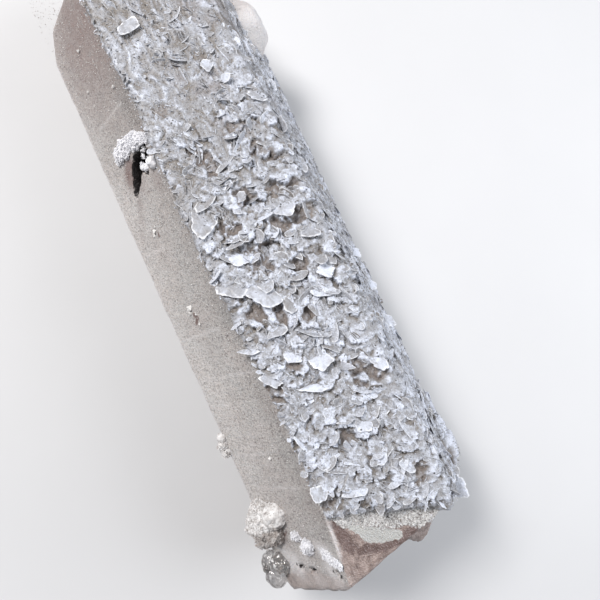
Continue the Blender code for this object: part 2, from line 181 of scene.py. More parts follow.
def unit(vectors: np.ndarray) -> np.ndarray:
    """The vectors divided by their lengths."""
    return vectors / np.linalg.norm(vectors, axis=-1, keepdims=True)


def cell_value(cells: np.ndarray, seed: int) -> np.ndarray:
    """A repeatable number from 0 to 1 for each cell: whole coordinates mixed by products and shifts.

    Args:
        cells: whole coordinates, three to a cell.
        seed: a different seed gives different numbers.

    Returns:
        One number for each cell.
    """
    c = cells.astype(np.int64).astype(np.uint64)
    mixed = c[..., 0] * np.uint64(73856093) ^ c[..., 1] * np.uint64(19349663)
    mixed ^= c[..., 2] * np.uint64(83492791) ^ np.uint64(seed * 2654435761 + 97)
    mixed ^= mixed >> np.uint64(33)
    mixed *= np.uint64(0xFF51AFD7ED558CCD)
    mixed ^= mixed >> np.uint64(33)
    mixed *= np.uint64(0xC4CEB9FE1A85EC53)
    mixed ^= mixed >> np.uint64(33)
    return (mixed >> np.uint64(11)).astype(float) / 2.0**53


def smooth_noise(points: np.ndarray, size: float, seed: int) -> np.ndarray:
    """Noise from -1 to 1: the cell values at a cube's corners, blended by 3t^2 - 2t^3 each way.

    Args:
        points: where the noise is wanted.
        size: the size of one grain of it.
        seed: a different seed gives different noise.

    Returns:
        One number for each point.
    """
    place = points / size
    low = np.floor(place)
    part = place - low
    part = part * part * (3.0 - 2.0 * part)
    total = np.zeros(points.shape[:-1])
    for corner in np.ndindex(2, 2, 2):
        weight = np.where(np.array(corner) == 1, part, 1.0 - part).prod(-1)
        total += weight * cell_value(low + np.array(corner), seed)
    return 2.0 * total - 1.0


def rough_noise(points: np.ndarray, size: float, octaves: int, seed: int) -> np.ndarray:
    """Sum of smooth noises, each half the size and half the strength of the one before.

    Args:
        points: where the noise is wanted.
        size: the size of the largest grain.
        octaves: how many noises are added.
        seed: the first noise's seed.

    Returns:
        One number for each point, about -1 to 1.
    """
    total = np.zeros(points.shape[:-1])
    for k in range(octaves):
        total += 0.5**k * smooth_noise(points, size * 0.5**k, seed + k)
    return total / (2.0 - 0.5 ** (octaves - 1))


# ---------------------------------------------------------------- writing meshes


def join(surfaces: list[Surface]) -> Surface:
    """Several surfaces as one, with their points and values in order."""
    starts = np.cumsum([0] + [len(s.points) for s in surfaces])
    faces = [group + start for s, start in zip(surfaces, starts) for group in s.faces]
    keys = surfaces[0].values
    values = {key: np.concatenate([s.values[key] for s in surfaces]) for key in keys}
    return Surface(np.concatenate([s.points for s in surfaces]), faces, values)


def facing_out(surface: Surface) -> Surface:
    """The surface with its faces turned so that the volume they enclose is positive."""
    volume = 0.0
    for group in surface.faces:
        corners = surface.points[group]
        for k in range(1, group.shape[1] - 1):
            volume += np.linalg.det(corners[:, (0, k, k + 1)]).sum()
    if volume > 0.0:
        return surface
    return surface._replace(faces=[group[:, ::-1] for group in surface.faces])


def write_piece(name: str, surface: Surface, material: bpy.types.Material, slot: str, *nodes: str,
                sharp_degrees: float = 0.0) -> None:
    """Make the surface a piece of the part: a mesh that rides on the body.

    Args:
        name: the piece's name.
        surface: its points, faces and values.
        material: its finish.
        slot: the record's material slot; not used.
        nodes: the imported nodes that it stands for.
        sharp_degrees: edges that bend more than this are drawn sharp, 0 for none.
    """
    mesh = bpy.data.meshes.new(name)
    sizes = np.concatenate([np.full(len(group), group.shape[1]) for group in surface.faces])
    corners = np.concatenate([group.ravel() for group in surface.faces])
    mesh.vertices.add(len(surface.points))
    mesh.vertices.foreach_set("co", (surface.points * MM).astype(np.float32).ravel())
    mesh.loops.add(len(corners))
    mesh.loops.foreach_set("vertex_index", corners.astype(np.int32))
    mesh.polygons.add(len(sizes))
    mesh.polygons.foreach_set("loop_start", (np.cumsum(sizes) - sizes).astype(np.int32))
    mesh.polygons.foreach_set("use_smooth", np.ones(len(sizes), bool))
    for key, values in surface.values.items():
        layer = mesh.attributes.new(key, "FLOAT", "POINT")
        layer.data.foreach_set("value", values.astype(np.float32))
    mesh.update(calc_edges=True)
    mesh.validate()
    if sharp_degrees:
        mesh.set_sharp_from_angle(angle=math.radians(sharp_degrees))
    mesh.materials.append(material)
    obj = bpy.data.objects.new(name, mesh)
    bpy.context.scene.collection.objects.link(obj)
    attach(obj, BODY)
    if nodes:
        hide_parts(*nodes)
    log.info("%s: %d points, %d triangles", name, len(surface.points), (sizes - 2).sum())


def tube_faces(rings: int, around: int) -> list[np.ndarray]:
    """Faces of a grid closed round its second direction, with a pole before its first ring and after its
    last.

    Args:
        rings: how many rings of points there are.
        around: how many points a ring has.

    Returns:
        The quads, and the triangles at both poles. Points are in order: pole, rings, pole.
    """
    ring = 1 + around * np.arange(rings)[:, None] + np.arange(around)
    after = np.roll(ring, -1, axis=1)
    quads = np.stack([ring[:-1], after[:-1], after[1:], ring[1:]], -1).reshape(-1, 4)
    pole = np.zeros(around, int)
    start_cap = np.stack([after[0], ring[0], pole], -1)
    end_cap = np.stack([ring[-1], after[-1], pole + rings * around + 1], -1)
    return [quads, start_cap, end_cap]


# ---------------------------------------------------------------- the crystal's geometry


def around_axis(degrees: np.ndarray | float) -> np.ndarray:
    """Unit vectors square to the axis, at angles from +Y towards +Z: (0, cos, sin)."""
    angle = np.radians(degrees)
    return np.stack([np.zeros_like(angle), np.cos(angle), np.sin(angle)], -1)


def unrolled(x: np.ndarray, u: np.ndarray, height: np.ndarray | float) -> tuple[np.ndarray, ...]:
    """Places on the unrolled prism: on the plane of the face under u, raised along a normal that turns
    by up to 30 degrees towards the next face near an edge.

    Args:
        x: distance along the axis.
        u: distance across the faces, 0 to 20.6 on the top face, below 0 on the frosted face.
        height: distance out from the face.

    Returns:
        Points, and the unit vectors across the crust and outward, at each place.
    """
    x, u, height = np.broadcast_arrays(np.asarray(x, float), u, height)
    index = np.clip(np.floor(u / PRISM_SIDE), -1, 2)
    outward = around_axis(Face.TOP.value - FACE_TURN * index)
    across = np.cross(outward, X_AXIS)
    offset = u - PRISM_SIDE * (index + 0.5)
    near = np.maximum(0.0, 1.0 - (PRISM_SIDE / 2.0 - np.abs(offset)) / CORNER_ROUNDING)
    turn = (np.sign(offset) * near * math.radians(FACE_TURN / 2.0))[..., None]
    leaning = np.cos(turn) * outward + np.sin(turn) * across
    middle = np.stack([x, np.zeros_like(x), np.full_like(x, AXIS_HEIGHT)], -1) + AXIS_HEIGHT * outward
    points = middle + offset[..., None] * across + height[..., None] * leaning
    return points, np.cross(leaning, X_AXIS), leaning


def crust_place(along: np.ndarray, around: np.ndarray) -> tuple[np.ndarray, np.ndarray]:
    """The x and u of places that are `along` and `around` the crust, both from 0 to 1."""
    rows = np.cumsum((0,) + CRUST_ROWS) / sum(CRUST_ROWS)
    usual = np.interp(around, rows, (0.0, PRISM_SIDE, 2.0 * PRISM_SIDE, CRUST_HIGH_EDGE[0]))
    start = np.interp(usual, CRUST_STATIONS, CRUST_START)
    x = start + along * (np.interp(usual, CRUST_STATIONS, CRUST_END) - start)
    low = np.interp(x, CRUST_EDGE_LENGTHS, CRUST_LOW_EDGE)
    high = np.interp(x, CRUST_EDGE_LENGTHS, CRUST_HIGH_EDGE)
    first = low + (PRISM_SIDE - low) * around / rows[1]
    second = PRISM_SIDE * (1.0 + (around - rows[1]) / (rows[2] - rows[1]))
    third = 2.0 * PRISM_SIDE + (high - 2.0 * PRISM_SIDE) * (around - rows[2]) / (rows[3] - rows[2])
    return x, np.where(around < rows[1], first, np.where(around < rows[2], second, third))


def on_frosted(x: np.ndarray | float, down: np.ndarray | float,
               height: np.ndarray | float = 0.0) -> np.ndarray:
    """Points on the frosted face: `down` from its top edge along the face, `height` out of it."""
    x, down, height = np.broadcast_arrays(np.asarray(x, float), down, height)
    edge = np.stack([x, np.full_like(x, -PRISM_SIDE / 2.0), np.full_like(x, ACROSS_FLATS)], -1)
    fall = np.array((0.0, -0.5, -math.sqrt(3.0) / 2.0))
    return edge + down[..., None] * fall + height[..., None] * around_axis(Face.FROSTED.value)


@dataclass(frozen=True)
class PlaneSolid:
    """A convex solid: the points p for which normals @ p is at most the offsets."""

    normals: np.ndarray
    offsets: np.ndarray

    def leave(self, starts: np.ndarray, rays: np.ndarray, rounding: float) -> np.ndarray:
        """How far along each ray it leaves the solid: the soft minimum -k log(sum exp(-t / k)) of the
        distances t to the planes that the ray runs towards.

        Args:
            starts: the rays' first points.
            rays: unit vectors.
            rounding: k, about the rounding of the solid's edges.

        Returns:
            A distance for each ray, minus infinity where the ray misses the solid.
        """
        closing = rays @ self.normals.T
        room = self.offsets - starts @ self.normals.T
        with np.errstate(divide="ignore", invalid="ignore"):
            distance = room / closing
        leaving = np.where(closing > 1e-9, distance, np.inf)
        entering = np.where(closing < -1e-9, distance, -np.inf).max(-1)
        nearest = leaving.min(-1)
        spread = np.exp((nearest[..., None] - leaving) / rounding).sum(-1)
        outside = (entering > nearest) | (nearest < 0.0)
        return np.where(outside, -np.inf, nearest - rounding * np.log(spread))


def solid_of(planes: list[tuple[np.ndarray, np.ndarray]]) -> PlaneSolid:
    """The solid inside planes that are given as (point, normal)."""
    normals = np.array([normal for _, normal in planes])
    offsets = np.array([np.dot(point, normal) for point, normal in planes])
    return PlaneSolid(normals, offsets)


def pyramid_normal(face: Face, end: int) -> np.ndarray:
    """The normal of a pyramid face over a prism face, at the +X end (1) or the -X end (-1)."""
    return end * math.cos(PYRAMID_ANGLE) * X_AXIS + math.sin(PYRAMID_ANGLE) * around_axis(face.value)


def prism_planes(centre: np.ndarray, apothem: float) -> list[tuple[np.ndarray, np.ndarray]]:
    """The six prism faces about a point, as (point, normal)."""
    return [(centre + apothem * around_axis(face.value), around_axis(face.value)) for face in Face]


def host_solid() -> PlaneSolid:
    """The host crystal: six prism faces, the point at -X and the blunt end at +X."""
    axis = np.array((0.0, 0.0, AXIS_HEIGHT))
    planes = prism_planes(axis, AXIS_HEIGHT)
    for face, along in POINT_REACH.items():
        planes.append((axis - along * X_AXIS, pyramid_normal(face, -1)))
    shoulder = np.array((math.sin(SHOULDER_SLOPE), 0.0, math.cos(SHOULDER_SLOPE)))
    planes.append((np.array((SHOULDER_START, 0.0, ACROSS_FLATS)), shoulder))
    planes.append((np.array(END_CORNER), unit(np.array(END_NORMAL))))
    for face, along in CORNER_REACH.items():
        corner = PRISM_SIDE if math.cos(math.radians(face.value)) > 0.0 else -PRISM_SIDE
        planes.append((np.array((along, corner, AXIS_HEIGHT)), pyramid_normal(face, 1)))
    planes.append((np.array((REST_FACE_END, 0.0, 0.0)), pyramid_normal(Face.REST, 1)))
    return solid_of(planes)


def small_solid(middle: Triple, side: float, half_length: float) -> PlaneSolid:
    """A small crystal in line with the host, pointed at both ends."""
    centre = np.array(middle)
    planes = prism_planes(centre, side * math.sqrt(3.0) / 2.0)
    for end in (-1, 1):
        for face, share in SMALL_REACH.items():
            planes.append((centre + end * half_length * share * X_AXIS, pyramid_normal(face, end)))
    return solid_of(planes)


# ---------------------------------------------------------------- finishes


class Bench:
    """A material's nodes while it is being made."""

    def __init__(self, name: str) -> None:
        """Start a material that holds one Principled shader."""
        self.material = bpy.data.materials.new(name)
        self.material.use_nodes = True
        self.tree = self.material.node_tree
        self.shader = self.tree.nodes["Principled BSDF"]
        self.place = self.tree.nodes.new("ShaderNodeTexCoord").outputs["Object"]

    def join(self, source: Socket, target: Socket) -> None:
        """Link two sockets."""
        self.tree.links.new(source, target)

    def feed(self, name: str, source: Socket) -> None:
        """Link a socket to one of the shader's own."""
        self.join(source, self.shader.inputs[name])

    def noise(self, size: float, detail: float = 3.0, roughness: float = 0.5) -> Socket:
        """Noise with grains of a size in millimetres, from 0 to 1."""
        node = self.tree.nodes.new("ShaderNodeTexNoise")
        node.inputs["Scale"].default_value = 1.0 / (size * MM)
        node.inputs["Detail"].default_value = detail
        node.inputs["Roughness"].default_value = roughness
        self.join(self.place, node.inputs["Vector"])
        return node.outputs["Fac"]

    def shake(self, size: float, low: float, high: float, detail: float = 3.0,
              roughness: float = 0.5) -> Socket:
        """Noise with grains of a size in millimetres, its middle part spread from low to high."""
        return self.levels(self.noise(size, detail, roughness), 0.3, 0.7, low, high)

    def cells(self, size: float, output: str = "Distance") -> Socket:
        """Voronoi cells of a size in millimetres: the distance to a cell's middle, or its colour."""
        node = self.tree.nodes.new("ShaderNodeTexVoronoi")
        node.inputs["Scale"].default_value = 1.0 / (size * MM)
        self.join(self.place, node.inputs["Vector"])
        return node.outputs[output]

    def value(self, name: str) -> Socket:
        """A value that the mesh carries at its points."""
        node = self.tree.nodes.new("ShaderNodeAttribute")
        node.attribute_name = name
        return node.outputs["Fac"]

    def ramp(self, source: Socket, stops: tuple[tuple[float, Triple], ...]) -> Socket:
        """Colours by a value: each stop is a place from 0 to 1 and a linear colour."""
        node = self.tree.nodes.new("ShaderNodeValToRGB")
        ramp = node.color_ramp
        while len(ramp.elements) < len(stops):
            ramp.elements.new(0.5)
        for element, (place, colour) in zip(ramp.elements, stops):
            element.position = place
            element.color = (*colour, 1.0)
        self.join(source, node.inputs["Fac"])
        return node.outputs["Color"]

    def levels(self, source: Socket, low: float, high: float, to_low: float, to_high: float) -> Socket:
        """A value spread from low..high to to_low..to_high, and held there."""
        node = self.tree.nodes.new("ShaderNodeMapRange")
        for name, number in zip(("From Min", "From Max", "To Min", "To Max"), (low, high, to_low, to_high)):
            node.inputs[name].default_value = number
        self.join(source, node.inputs["Value"])
        return node.outputs["Result"]

    def mix(self, share: Socket | float, first: Socket | Triple, second: Socket | Triple,
            blend: str = "MIX") -> Socket:
        """Two colours mixed: each is a socket or a linear colour, and so is the share from 0 to 1."""
        node = self.tree.nodes.new("ShaderNodeMix")
        node.data_type = "RGBA"
        node.blend_type = blend
        for socket, given in ((node.inputs[0], share), (node.inputs[6], first), (node.inputs[7], second)):
            if isinstance(given, Socket):
                self.join(given, socket)
            elif isinstance(given, tuple):
                socket.default_value = (*given, 1.0)
            else:
                socket.default_value = given
        return node.outputs[2]

    def sum(self, first: Socket, second: Socket | float, operation: str = "ADD") -> Socket:
        """Two values put together by a Math node's operation."""
        node = self.tree.nodes.new("ShaderNodeMath")
        node.operation = operation
        self.join(first, node.inputs[0])
        if isinstance(second, Socket):
            self.join(second, node.inputs[1])
        else:
            node.inputs[1].default_value = second
        return node.outputs[0]

    def bump(self, source: Socket, height: float, strength: float = 1.0) -> None:
        """Bump the surface by a value times a height in millimetres, over any bump that is there."""
        node = self.tree.nodes.new("ShaderNodeBump")
        node.inputs["Distance"].default_value = height * MM
        node.inputs["Strength"].default_value = strength
        self.join(source, node.inputs["Height"])
        links = self.shader.inputs["Normal"].links
        if links:
            self.join(links[0].from_socket, node.inputs["Normal"])
        self.join(node.outputs["Normal"], self.shader.inputs["Normal"])

    def set(self, **numbers: float) -> None:
        """Numbers on the shader's own sockets, named with underscores for spaces."""
        for name, number in numbers.items():
            self.shader.inputs[name.replace("_", " ")].default_value = number

    def translucent(self, weight: float, depth: float, tint: Triple) -> None:
        """Let light scatter under the surface, to a depth in millimetres."""
        self.set(Subsurface_Weight=weight, Subsurface_Scale=depth * MM)
        self.shader.inputs["Subsurface Radius"].default_value = tint


@dataclass(frozen=True)
class FrostedQuartz:
    """Quartz under a sugary frost, browner and glassier where it is bare."""

    thick: Triple = (0.55, 0.53, 0.52)
    # The colour of thin frost, which by the crust is also painted shadow of the crust.
    thin_frost_and_shade: Triple = (0.23, 0.22, 0.215)
    bare: Triple = (0.43, 0.345, 0.315)
    bare_dark: Triple = (0.19, 0.14, 0.125)
    stain: Triple = (0.21, 0.155, 0.145)
    stain_dark: Triple = (0.12, 0.08, 0.07)
    pale: Triple = (0.66, 0.635, 0.64)
    sheet: Triple = (0.45, 0.445, 0.43)
    druse: Triple = (0.78, 0.77, 0.77)
    druse_dark: Triple = (0.26, 0.22, 0.21)
    # Near black: painted shade deep in the pit.
    pit: Triple = (0.004, 0.001, 0.001)
    speckle: tuple[tuple[float, Triple], ...] = (
        (0.05, (0.55, 0.54, 0.54)), (0.2, (1.0, 1.0, 1.0)), (0.5, (1.22, 1.22, 1.22)))
    inner_tint: Triple = (1.0, 0.8, 0.65)

    @staticmethod
    def edged(b: Bench, name: str, shake: float, low: float, high: float) -> Socket:
        """A mesh value made crisp between two levels, its border shaken by fine noise."""
        return b.levels(b.sum(b.value(name), b.shake(0.7, -shake, shake, 4.0, 0.65)), low, high, 0.0, 1.0)

    def material(self) -> bpy.types.Material:
        """Speckled frost, mixed to bare, pale, drusy and stained colours, and to a near-black pit colour that
        is painted shade, by the mesh's values.
        """
        b = Bench("frosted_quartz")
        grain = b.sum(b.cells(0.24, "Color"), b.noise(0.5, 3.0, 0.65), "MULTIPLY")
        streaks = b.levels(b.noise(1.1, 5.0, 0.65), 0.34, 0.66, 0.0, 1.0)
        sugar = b.levels(b.noise(0.5, 3.0, 0.65), 0.42, 0.58, 0.0, 1.0)
        bare = b.mix(streaks, self.bare_dark, self.bare)
        brown = b.mix(streaks, self.stain_dark, self.stain)
        druse = b.mix(sugar, self.druse_dark, self.druse)
        # Thin frost by the crust is partly painted shadow of the crust.
        frost = b.mix(b.value("thickness"), self.thin_frost_and_shade, self.thick)
        frost = b.mix(b.levels(b.noise(6.0, 3.0), 0.35, 0.7, 0.0, 0.22), frost, self.bare)
        frost = b.mix(1.0, frost, b.ramp(grain, self.speckle), "MULTIPLY")
        colour = b.mix(b.value("glassy"), frost, bare)
        colour = b.mix(b.value("warmth"), colour, self.stain)
        colour = b.mix(self.edged(b, "brown", 0.25, 0.10, 0.45), colour, brown)
        colour = b.mix(b.value("pale"), colour, self.pale)
        colour = b.mix(self.edged(b, "sheet", 0.14, 0.16, 0.24), colour, self.sheet)
        colour = b.mix(self.edged(b, "druse", 0.2, 0.3, 0.6), colour, druse)
        # Painted shade: the pit is drawn near black.
        colour = b.mix(self.edged(b, "pit", 0.14, 0.08, 0.26), colour, self.pit)
        b.feed("Base Color", colour)
        smooth = b.sum(b.value("glassy"), b.value("druse"), "SUBTRACT")
        b.feed("Roughness", b.levels(smooth, -1.0, 1.0, 0.9, 0.24))
        b.bump(b.cells(0.3), 0.13, 0.9)
        b.bump(b.noise(0.8, 4.0), 0.13, 0.6)
        b.translucent(0.25, 1.0, self.inner_tint)
        b.set(IOR=QUARTZ_IOR)
        return b.material


@dataclass(frozen=True)
class PearlyPlate:
    """Thin white to bluish-grey plates, a little paler at their rims, partly as painted highlight, under a
    fine sugary roughness.
    """

    # Dull to bright by tone; on the bed the tone holds painted shade in low places and painted light on
    # raised ones.
    dull: Triple = (0.19, 0.168, 0.15)
    middle: Triple = (0.338, 0.342, 0.368)
    bright: Triple = (0.65, 0.685, 0.78)
    # Pale rim colour, partly painted highlight along the plates' edges.
    rim: Triple = (0.83, 0.84, 0.88)
    # Brown of the stains and hollows; in the hollows it is partly painted shade.
    brown: Triple = (0.185, 0.152, 0.138)
    # Near black: painted shade of tiny pinholes.
    pinhole_shade: Triple = (0.03, 0.026, 0.026)
    inner_tint: Triple = (1.0, 0.95, 0.95)
    ior: float = 1.53

    def tone_colour(self, b: Bench, sugar: float) -> Socket:
        """The mesh's tone as a colour, shifted up and down by fine mottling, as sugary as the share given."""
        fine = b.shake(0.30, -0.26 * sugar, 0.22 * sugar, 4.0, 0.7)
        tone = b.sum(b.value("tone"), b.sum(fine, b.shake(1.1, -0.12, 0.12, 3.0, 0.6)))
        return b.ramp(tone, ((0.0, self.dull), (0.5, self.middle), (1.0, self.bright)))

    def dress(self, b: Bench, colour: Socket, sugar: float) -> bpy.types.Material:
        """The finish in a colour, with tiny near-black spots of painted shade for pinholes where a slow noise
        lets them be, under sugary grains over a finer roughness, both by the share given."""
        # Painted shade: small near-black spots stand for pinholes.
        inside = b.levels(b.cells(1.1), 0.13, 0.19, 1.0, 0.0)
        pinhole_shade_share = b.sum(inside, b.levels(b.noise(2.5, 2.0), 0.53, 0.57, 0.0, 0.92), "MULTIPLY")
        b.feed("Base Color", b.mix(pinhole_shade_share, colour, self.pinhole_shade))
        b.bump(b.cells(0.42), 0.16 * sugar, 0.8)
        b.bump(b.noise(0.28, 4.0, 0.65), 0.14 * sugar, 0.9)
        b.translucent(0.12, 0.4, self.inner_tint)
        b.set(IOR=self.ior, Roughness=0.45, Coat_Weight=0.08, Coat_Roughness=0.25)
        return b.material

    def material(self, name: str, sugar: float) -> bpy.types.Material:
        """The standing plates' finish, as sugary as the share given."""
        b = Bench(name)
        # Partly painted highlight: plates turn paler towards their rims.
        edge = b.levels(b.sum(b.value("rim"), b.shake(0.8, -0.12, 0.12)), 0.84, 1.0, 0.0, 0.75)
        return self.dress(b, b.mix(edge, self.tone_colour(b, sugar), self.rim), sugar)

    def bed_material(self) -> bpy.types.Material:
        """The bed's finish: the plates' colours, brown on the stains and in the hollows, where the brown is
        partly the crust's colour and partly painted shade.
        """
        b = Bench("crust_bed")
        share = b.sum(b.value("brown"), b.shake(0.7, 0.45, 1.0, 4.0, 0.65), "MULTIPLY")
        return self.dress(b, b.mix(share, self.tone_colour(b, 1.0), self.brown), 1.0)


@dataclass(frozen=True)
class WhiteAggregate:
    """White grains grown together, duller where their tone is low."""

    name: str = "white_aggregate"
    pale: Triple = (0.80, 0.79, 0.79)
    dull: Triple = (0.36, 0.32, 0.30)
    patchiness: float = 0.45
    inner_tint: Triple = (1.0, 0.95, 0.9)

    def material(self) -> bpy.types.Material:
        """The mesh's own tone, shifted down in patches."""
        b = Bench(self.name)
        patches = b.levels(b.noise(1.0, 4.0, 0.65), 0.40, 0.60, -self.patchiness, 0.1)
        b.feed("Base Color", b.mix(b.sum(b.value("tone"), patches), self.dull, self.pale))
        b.bump(b.cells(0.4), 0.12, 0.8)
        b.translucent(0.2, 0.5, self.inner_tint)
        b.set(Roughness=0.5, IOR=QUARTZ_IOR)
        return b.material


@dataclass(frozen=True)
class GlassyGrowth:
    """Grey, wet-looking translucent quartz."""

    clear: Triple = (0.60, 0.58, 0.57)
    milky: Triple = (0.78, 0.78, 0.78)

    def material(self) -> bpy.types.Material:
        """Clear, with milky veils."""
        b = Bench("glassy_growth")
        veils = b.levels(b.noise(1.0, 4.0, 0.6), 0.54, 0.66, 0.0, 1.0)
        b.feed("Base Color", b.mix(veils, self.clear, self.milky))
        b.feed("Transmission Weight", b.levels(veils, 0.0, 1.0, 0.9, 0.2))
        b.bump(b.noise(0.8, 3.0), 0.3, 0.8)
        b.set(Roughness=0.07, IOR=QUARTZ_IOR)
        return b.material


# ---------------------------------------------------------------- the quartz


class OnQuartz(NamedTuple):
    """Places on the quartz: how far down the frosted face they are, how far from its plane, and how much
    they belong to that face and to the top, from 0 to 1."""

    points: np.ndarray
    down: np.ndarray
    gap: np.ndarray
    frosted: np.ndarray
    on_top: np.ndarray


@dataclass(frozen=True)
class Quartz:
    """The quartz crystal: one closed surface of rays from its axis."""

    middle: tuple[float, float] = (-48.0, 56.0)
    middle_rings: int = 301
    end_rings: int = 54
    samples: tuple[int, ...] = (26, 36, 62, 40, 20, 26)
    rounding: float = 0.22
    side_rounding: float = 0.8
    pit_depth: float = 3.4
    # How high the relief is: grain, swells, ridges across the crystal, the druse, the side crystal.
    grain: float = 0.07
    swells: float = 0.16
    ridges: float = 0.05
    drusy: float = 0.45
    side_relief: float = 0.5
    wobble: float = 0.30
    # Between these heights the top starts; between these distances along it the frost ends in a point.
    top_level: tuple[float, float] = (30.0, 32.0)
    bare_point: tuple[float, float] = (-42.0, -47.0)
    # Lines on the frosted face: x, down, half width of each point.
    pit_lines: tuple[Line, ...] = (
        ((-20.8, 2.6, 0.9), (-19.9, 4.6, 1.4), (-19.2, 7.0, 1.9), (-18.2, 8.9, 2.0)),
        ((-18.2, 8.9, 2.0), (-17.1, 10.0, 1.8), (-16.2, 11.2, 1.4), (-15.2, 12.6, 0.8)),
        ((-18.8, 3.0, 0.7), (-18.4, 5.2, 0.8), (-17.4, 6.6, 0.8), (-16.0, 5.6, 0.4)),
        ((62.9, 14.2, 0.3), (63.4, 12.4, 0.42)),
        ((63.6, 10.6, 0.25), (63.9, 9.0, 0.25)),
        ((63.7, 3.0, 0.3), (64.2, 2.4, 0.4)),
        ((63.2, 4.2, 0.3), (63.3, 3.9, 0.3)),
        ((62.3, 1.8, 0.3), (62.5, 1.4, 0.3)),
    )
    # Lines on the shoulder: x, y, half width of each point.
    pale_line: Line = (
        (55.4, -8.0, 0.35), (57.8, -5.7, 0.9), (59.9, -4.0, 1.7), (61.2, -2.0, 1.7), (62.6, 0.8, 0.9))
    brown_lines: tuple[Line, ...] = (
        ((52.2, -8.6, 0.7), (55.5, -6.4, 0.9), (57.9, -4.1, 0.8), (59.2, -1.2, 0.5)),
        ((61.6, -6.6, 1.0), (63.3, -2.5, 1.1), (63.4, 1.5, 1.3), (62.8, 5.5, 1.2), (62.0, 9.0, 0.8)),
        ((55.0, -9.2, 0.7), (56.8, -8.6, 1.3), (58.4, -8.4, 1.6), (60.2, -8.0, 1.6)),
    )
    # Coloured patches: x, y, z, radius, strength.
    warm_patches: Table = (
        (-15.2, -14.8, 28.0, 2.4, 0.30),
        (-12.9, -16.7, 24.6, 1.5, 0.35),
        (-10.6, -17.7, 22.9, 1.4, 0.30),
        (-8.1, -18.5, 21.5, 1.4, 0.25),
        (-18.4, -16.3, 25.3, 2.1, 1.30),
        (-20.2, -15.4, 26.8, 1.6, 0.90),
        (-13.8, -12.0, 32.7, 2.2, 0.35),
        (50.0, -14.0, 29.0, 9.0, 0.12),
        (-47.0, -14.0, 30.0, 14.0, 0.72),
        (-42.0, 7.0, 35.0, 6.0, 0.35),
        (57.6, -17.8, 23.0, 2.2, 0.45),
    )
    pale_patches: Table = (
        (-42.6, 22.0, 22.0, 10.0, 0.9),
        (62.2, -17.7, 22.8, 2.4, 1.0),
        (62.9, -12.8, 32.0, 1.5, 0.8),
        (61.4, -15.6, 27.0, 1.2, 0.4),
        (61.6, -18.6, 21.4, 1.6, 0.7),
        (64.9, -17.4, 23.2, 2.0, 0.25),
        (65.4, -14.8, 27.9, 2.4, 0.35),
        (59.0, -13.0, 31.0, 1.3, 0.7),
        (59.9, -12.2, 32.4, 1.5, 0.8),
        (60.9, -11.6, 33.4, 1.4, 0.8),
        (65.8, -12.1, 32.6, 2.2, 0.45),
    )
    # Growth lines across the frosted face: x and down of both ends, half width.
    growth_lines: tuple[Line, ...] = (
        ((14.4, 20.4, 0.4), (15.9, 5.2, 0.35)),
        ((23.2, 20.7, 0.4), (25.6, 0.4, 0.3)),
        ((39.6, 19.9, 0.35), (40.4, 8.5, 0.35)),
        ((-4.2, 19.0, 0.3), (-2.9, 11.0, 0.3)),
        ((29.0, 20.0, 0.3), (29.7, 13.0, 0.3)),
        ((-31.0, 15.0, 0.3), (-29.6, 4.0, 0.3)),
        ((46.6, 16.0, 0.3), (47.6, 3.0, 0.3)),
    )
    # Dark crumbs on the frosted face, in the same form.
    crumbs: tuple[Line, ...] = (
        ((11.3, 11.2, 0.55), (12.1, 10.5, 0.7), (13.0, 11.6, 0.45)),
        ((-6.1, 10.9, 0.25), (-5.4, 11.0, 0.25)),
        ((56.1, 13.0, 0.4), (56.9, 14.6, 0.3)),
    )
    # How thick the frost on the frosted face is: down, share. The low shares near its top edge, by the crust,
    # are partly thinner frost and partly painted shadow of the crust.
    frost_share_with_crust_shadow: Table = ((0.0, 2.0, 6.0, 12.0, 20.0), (0.05, 0.25, 0.5, 0.65, 0.95))
    # Where the frost on the frosted face ends: down, x.
    frost_end: Table = ((0.8, 3.2, 7.9, 14.0, 18.2), (66.2, 64.9, 63.8, 63.8, 64.8))

    def rays(self) -> tuple[np.ndarray, np.ndarray]:
        """Rays that stand square to the axis along the middle and fan out to a pole at each end.

        Returns:
            The rays' first points and unit vectors: one pole's, ring after ring, the other pole's.
        """
        half = math.tan(math.radians(FACE_TURN / 2.0))
        turns = [
            face.value + np.degrees(np.arctan(half * (2.0 * np.arange(count) / count - 1.0)))
            for face, count in zip(Face, self.samples)
        ]
        outward = around_axis(np.concatenate(turns))
        fan = np.linspace(math.pi / 2.0, 0.0, self.end_rings + 1)[1:-1]
        lean = np.concatenate([-fan, np.zeros(self.middle_rings), fan[::-1]])[:, None, None]
        rays = np.cos(lean) * outward + np.sin(lean) * X_AXIS
        along = np.linspace(*self.middle, self.middle_rings)
        starts = np.zeros(rays.shape)
        starts[..., 0] = np.pad(along, len(fan), mode="edge")[:, None]
        starts[..., 2] = AXIS_HEIGHT
        poles = np.array([(x, 0.0, AXIS_HEIGHT) for x in self.middle])
        starts = np.concatenate([poles[:1], starts.reshape(-1, 3), poles[1:]])
        return starts, np.concatenate([[-X_AXIS], rays.reshape(-1, 3), [X_AXIS]])

    def reach(self, starts: np.ndarray, rays: np.ndarray) -> np.ndarray:
        """How far out the surface is: the farthest exit from the host or from any small crystal."""
        half = END_CRYSTAL_LENGTH / 2.0
        solids = [(host_solid(), self.rounding), (small_solid(*SHOULDER_CRYSTAL), self.side_rounding)]
        for tip, y, z, side in END_CRYSTALS:
            solids.append((small_solid((tip - half, y, z), side, half), 0.5 * self.rounding))
        return np.max([solid.leave(starts, rays, rounding) for solid, rounding in solids], axis=0)

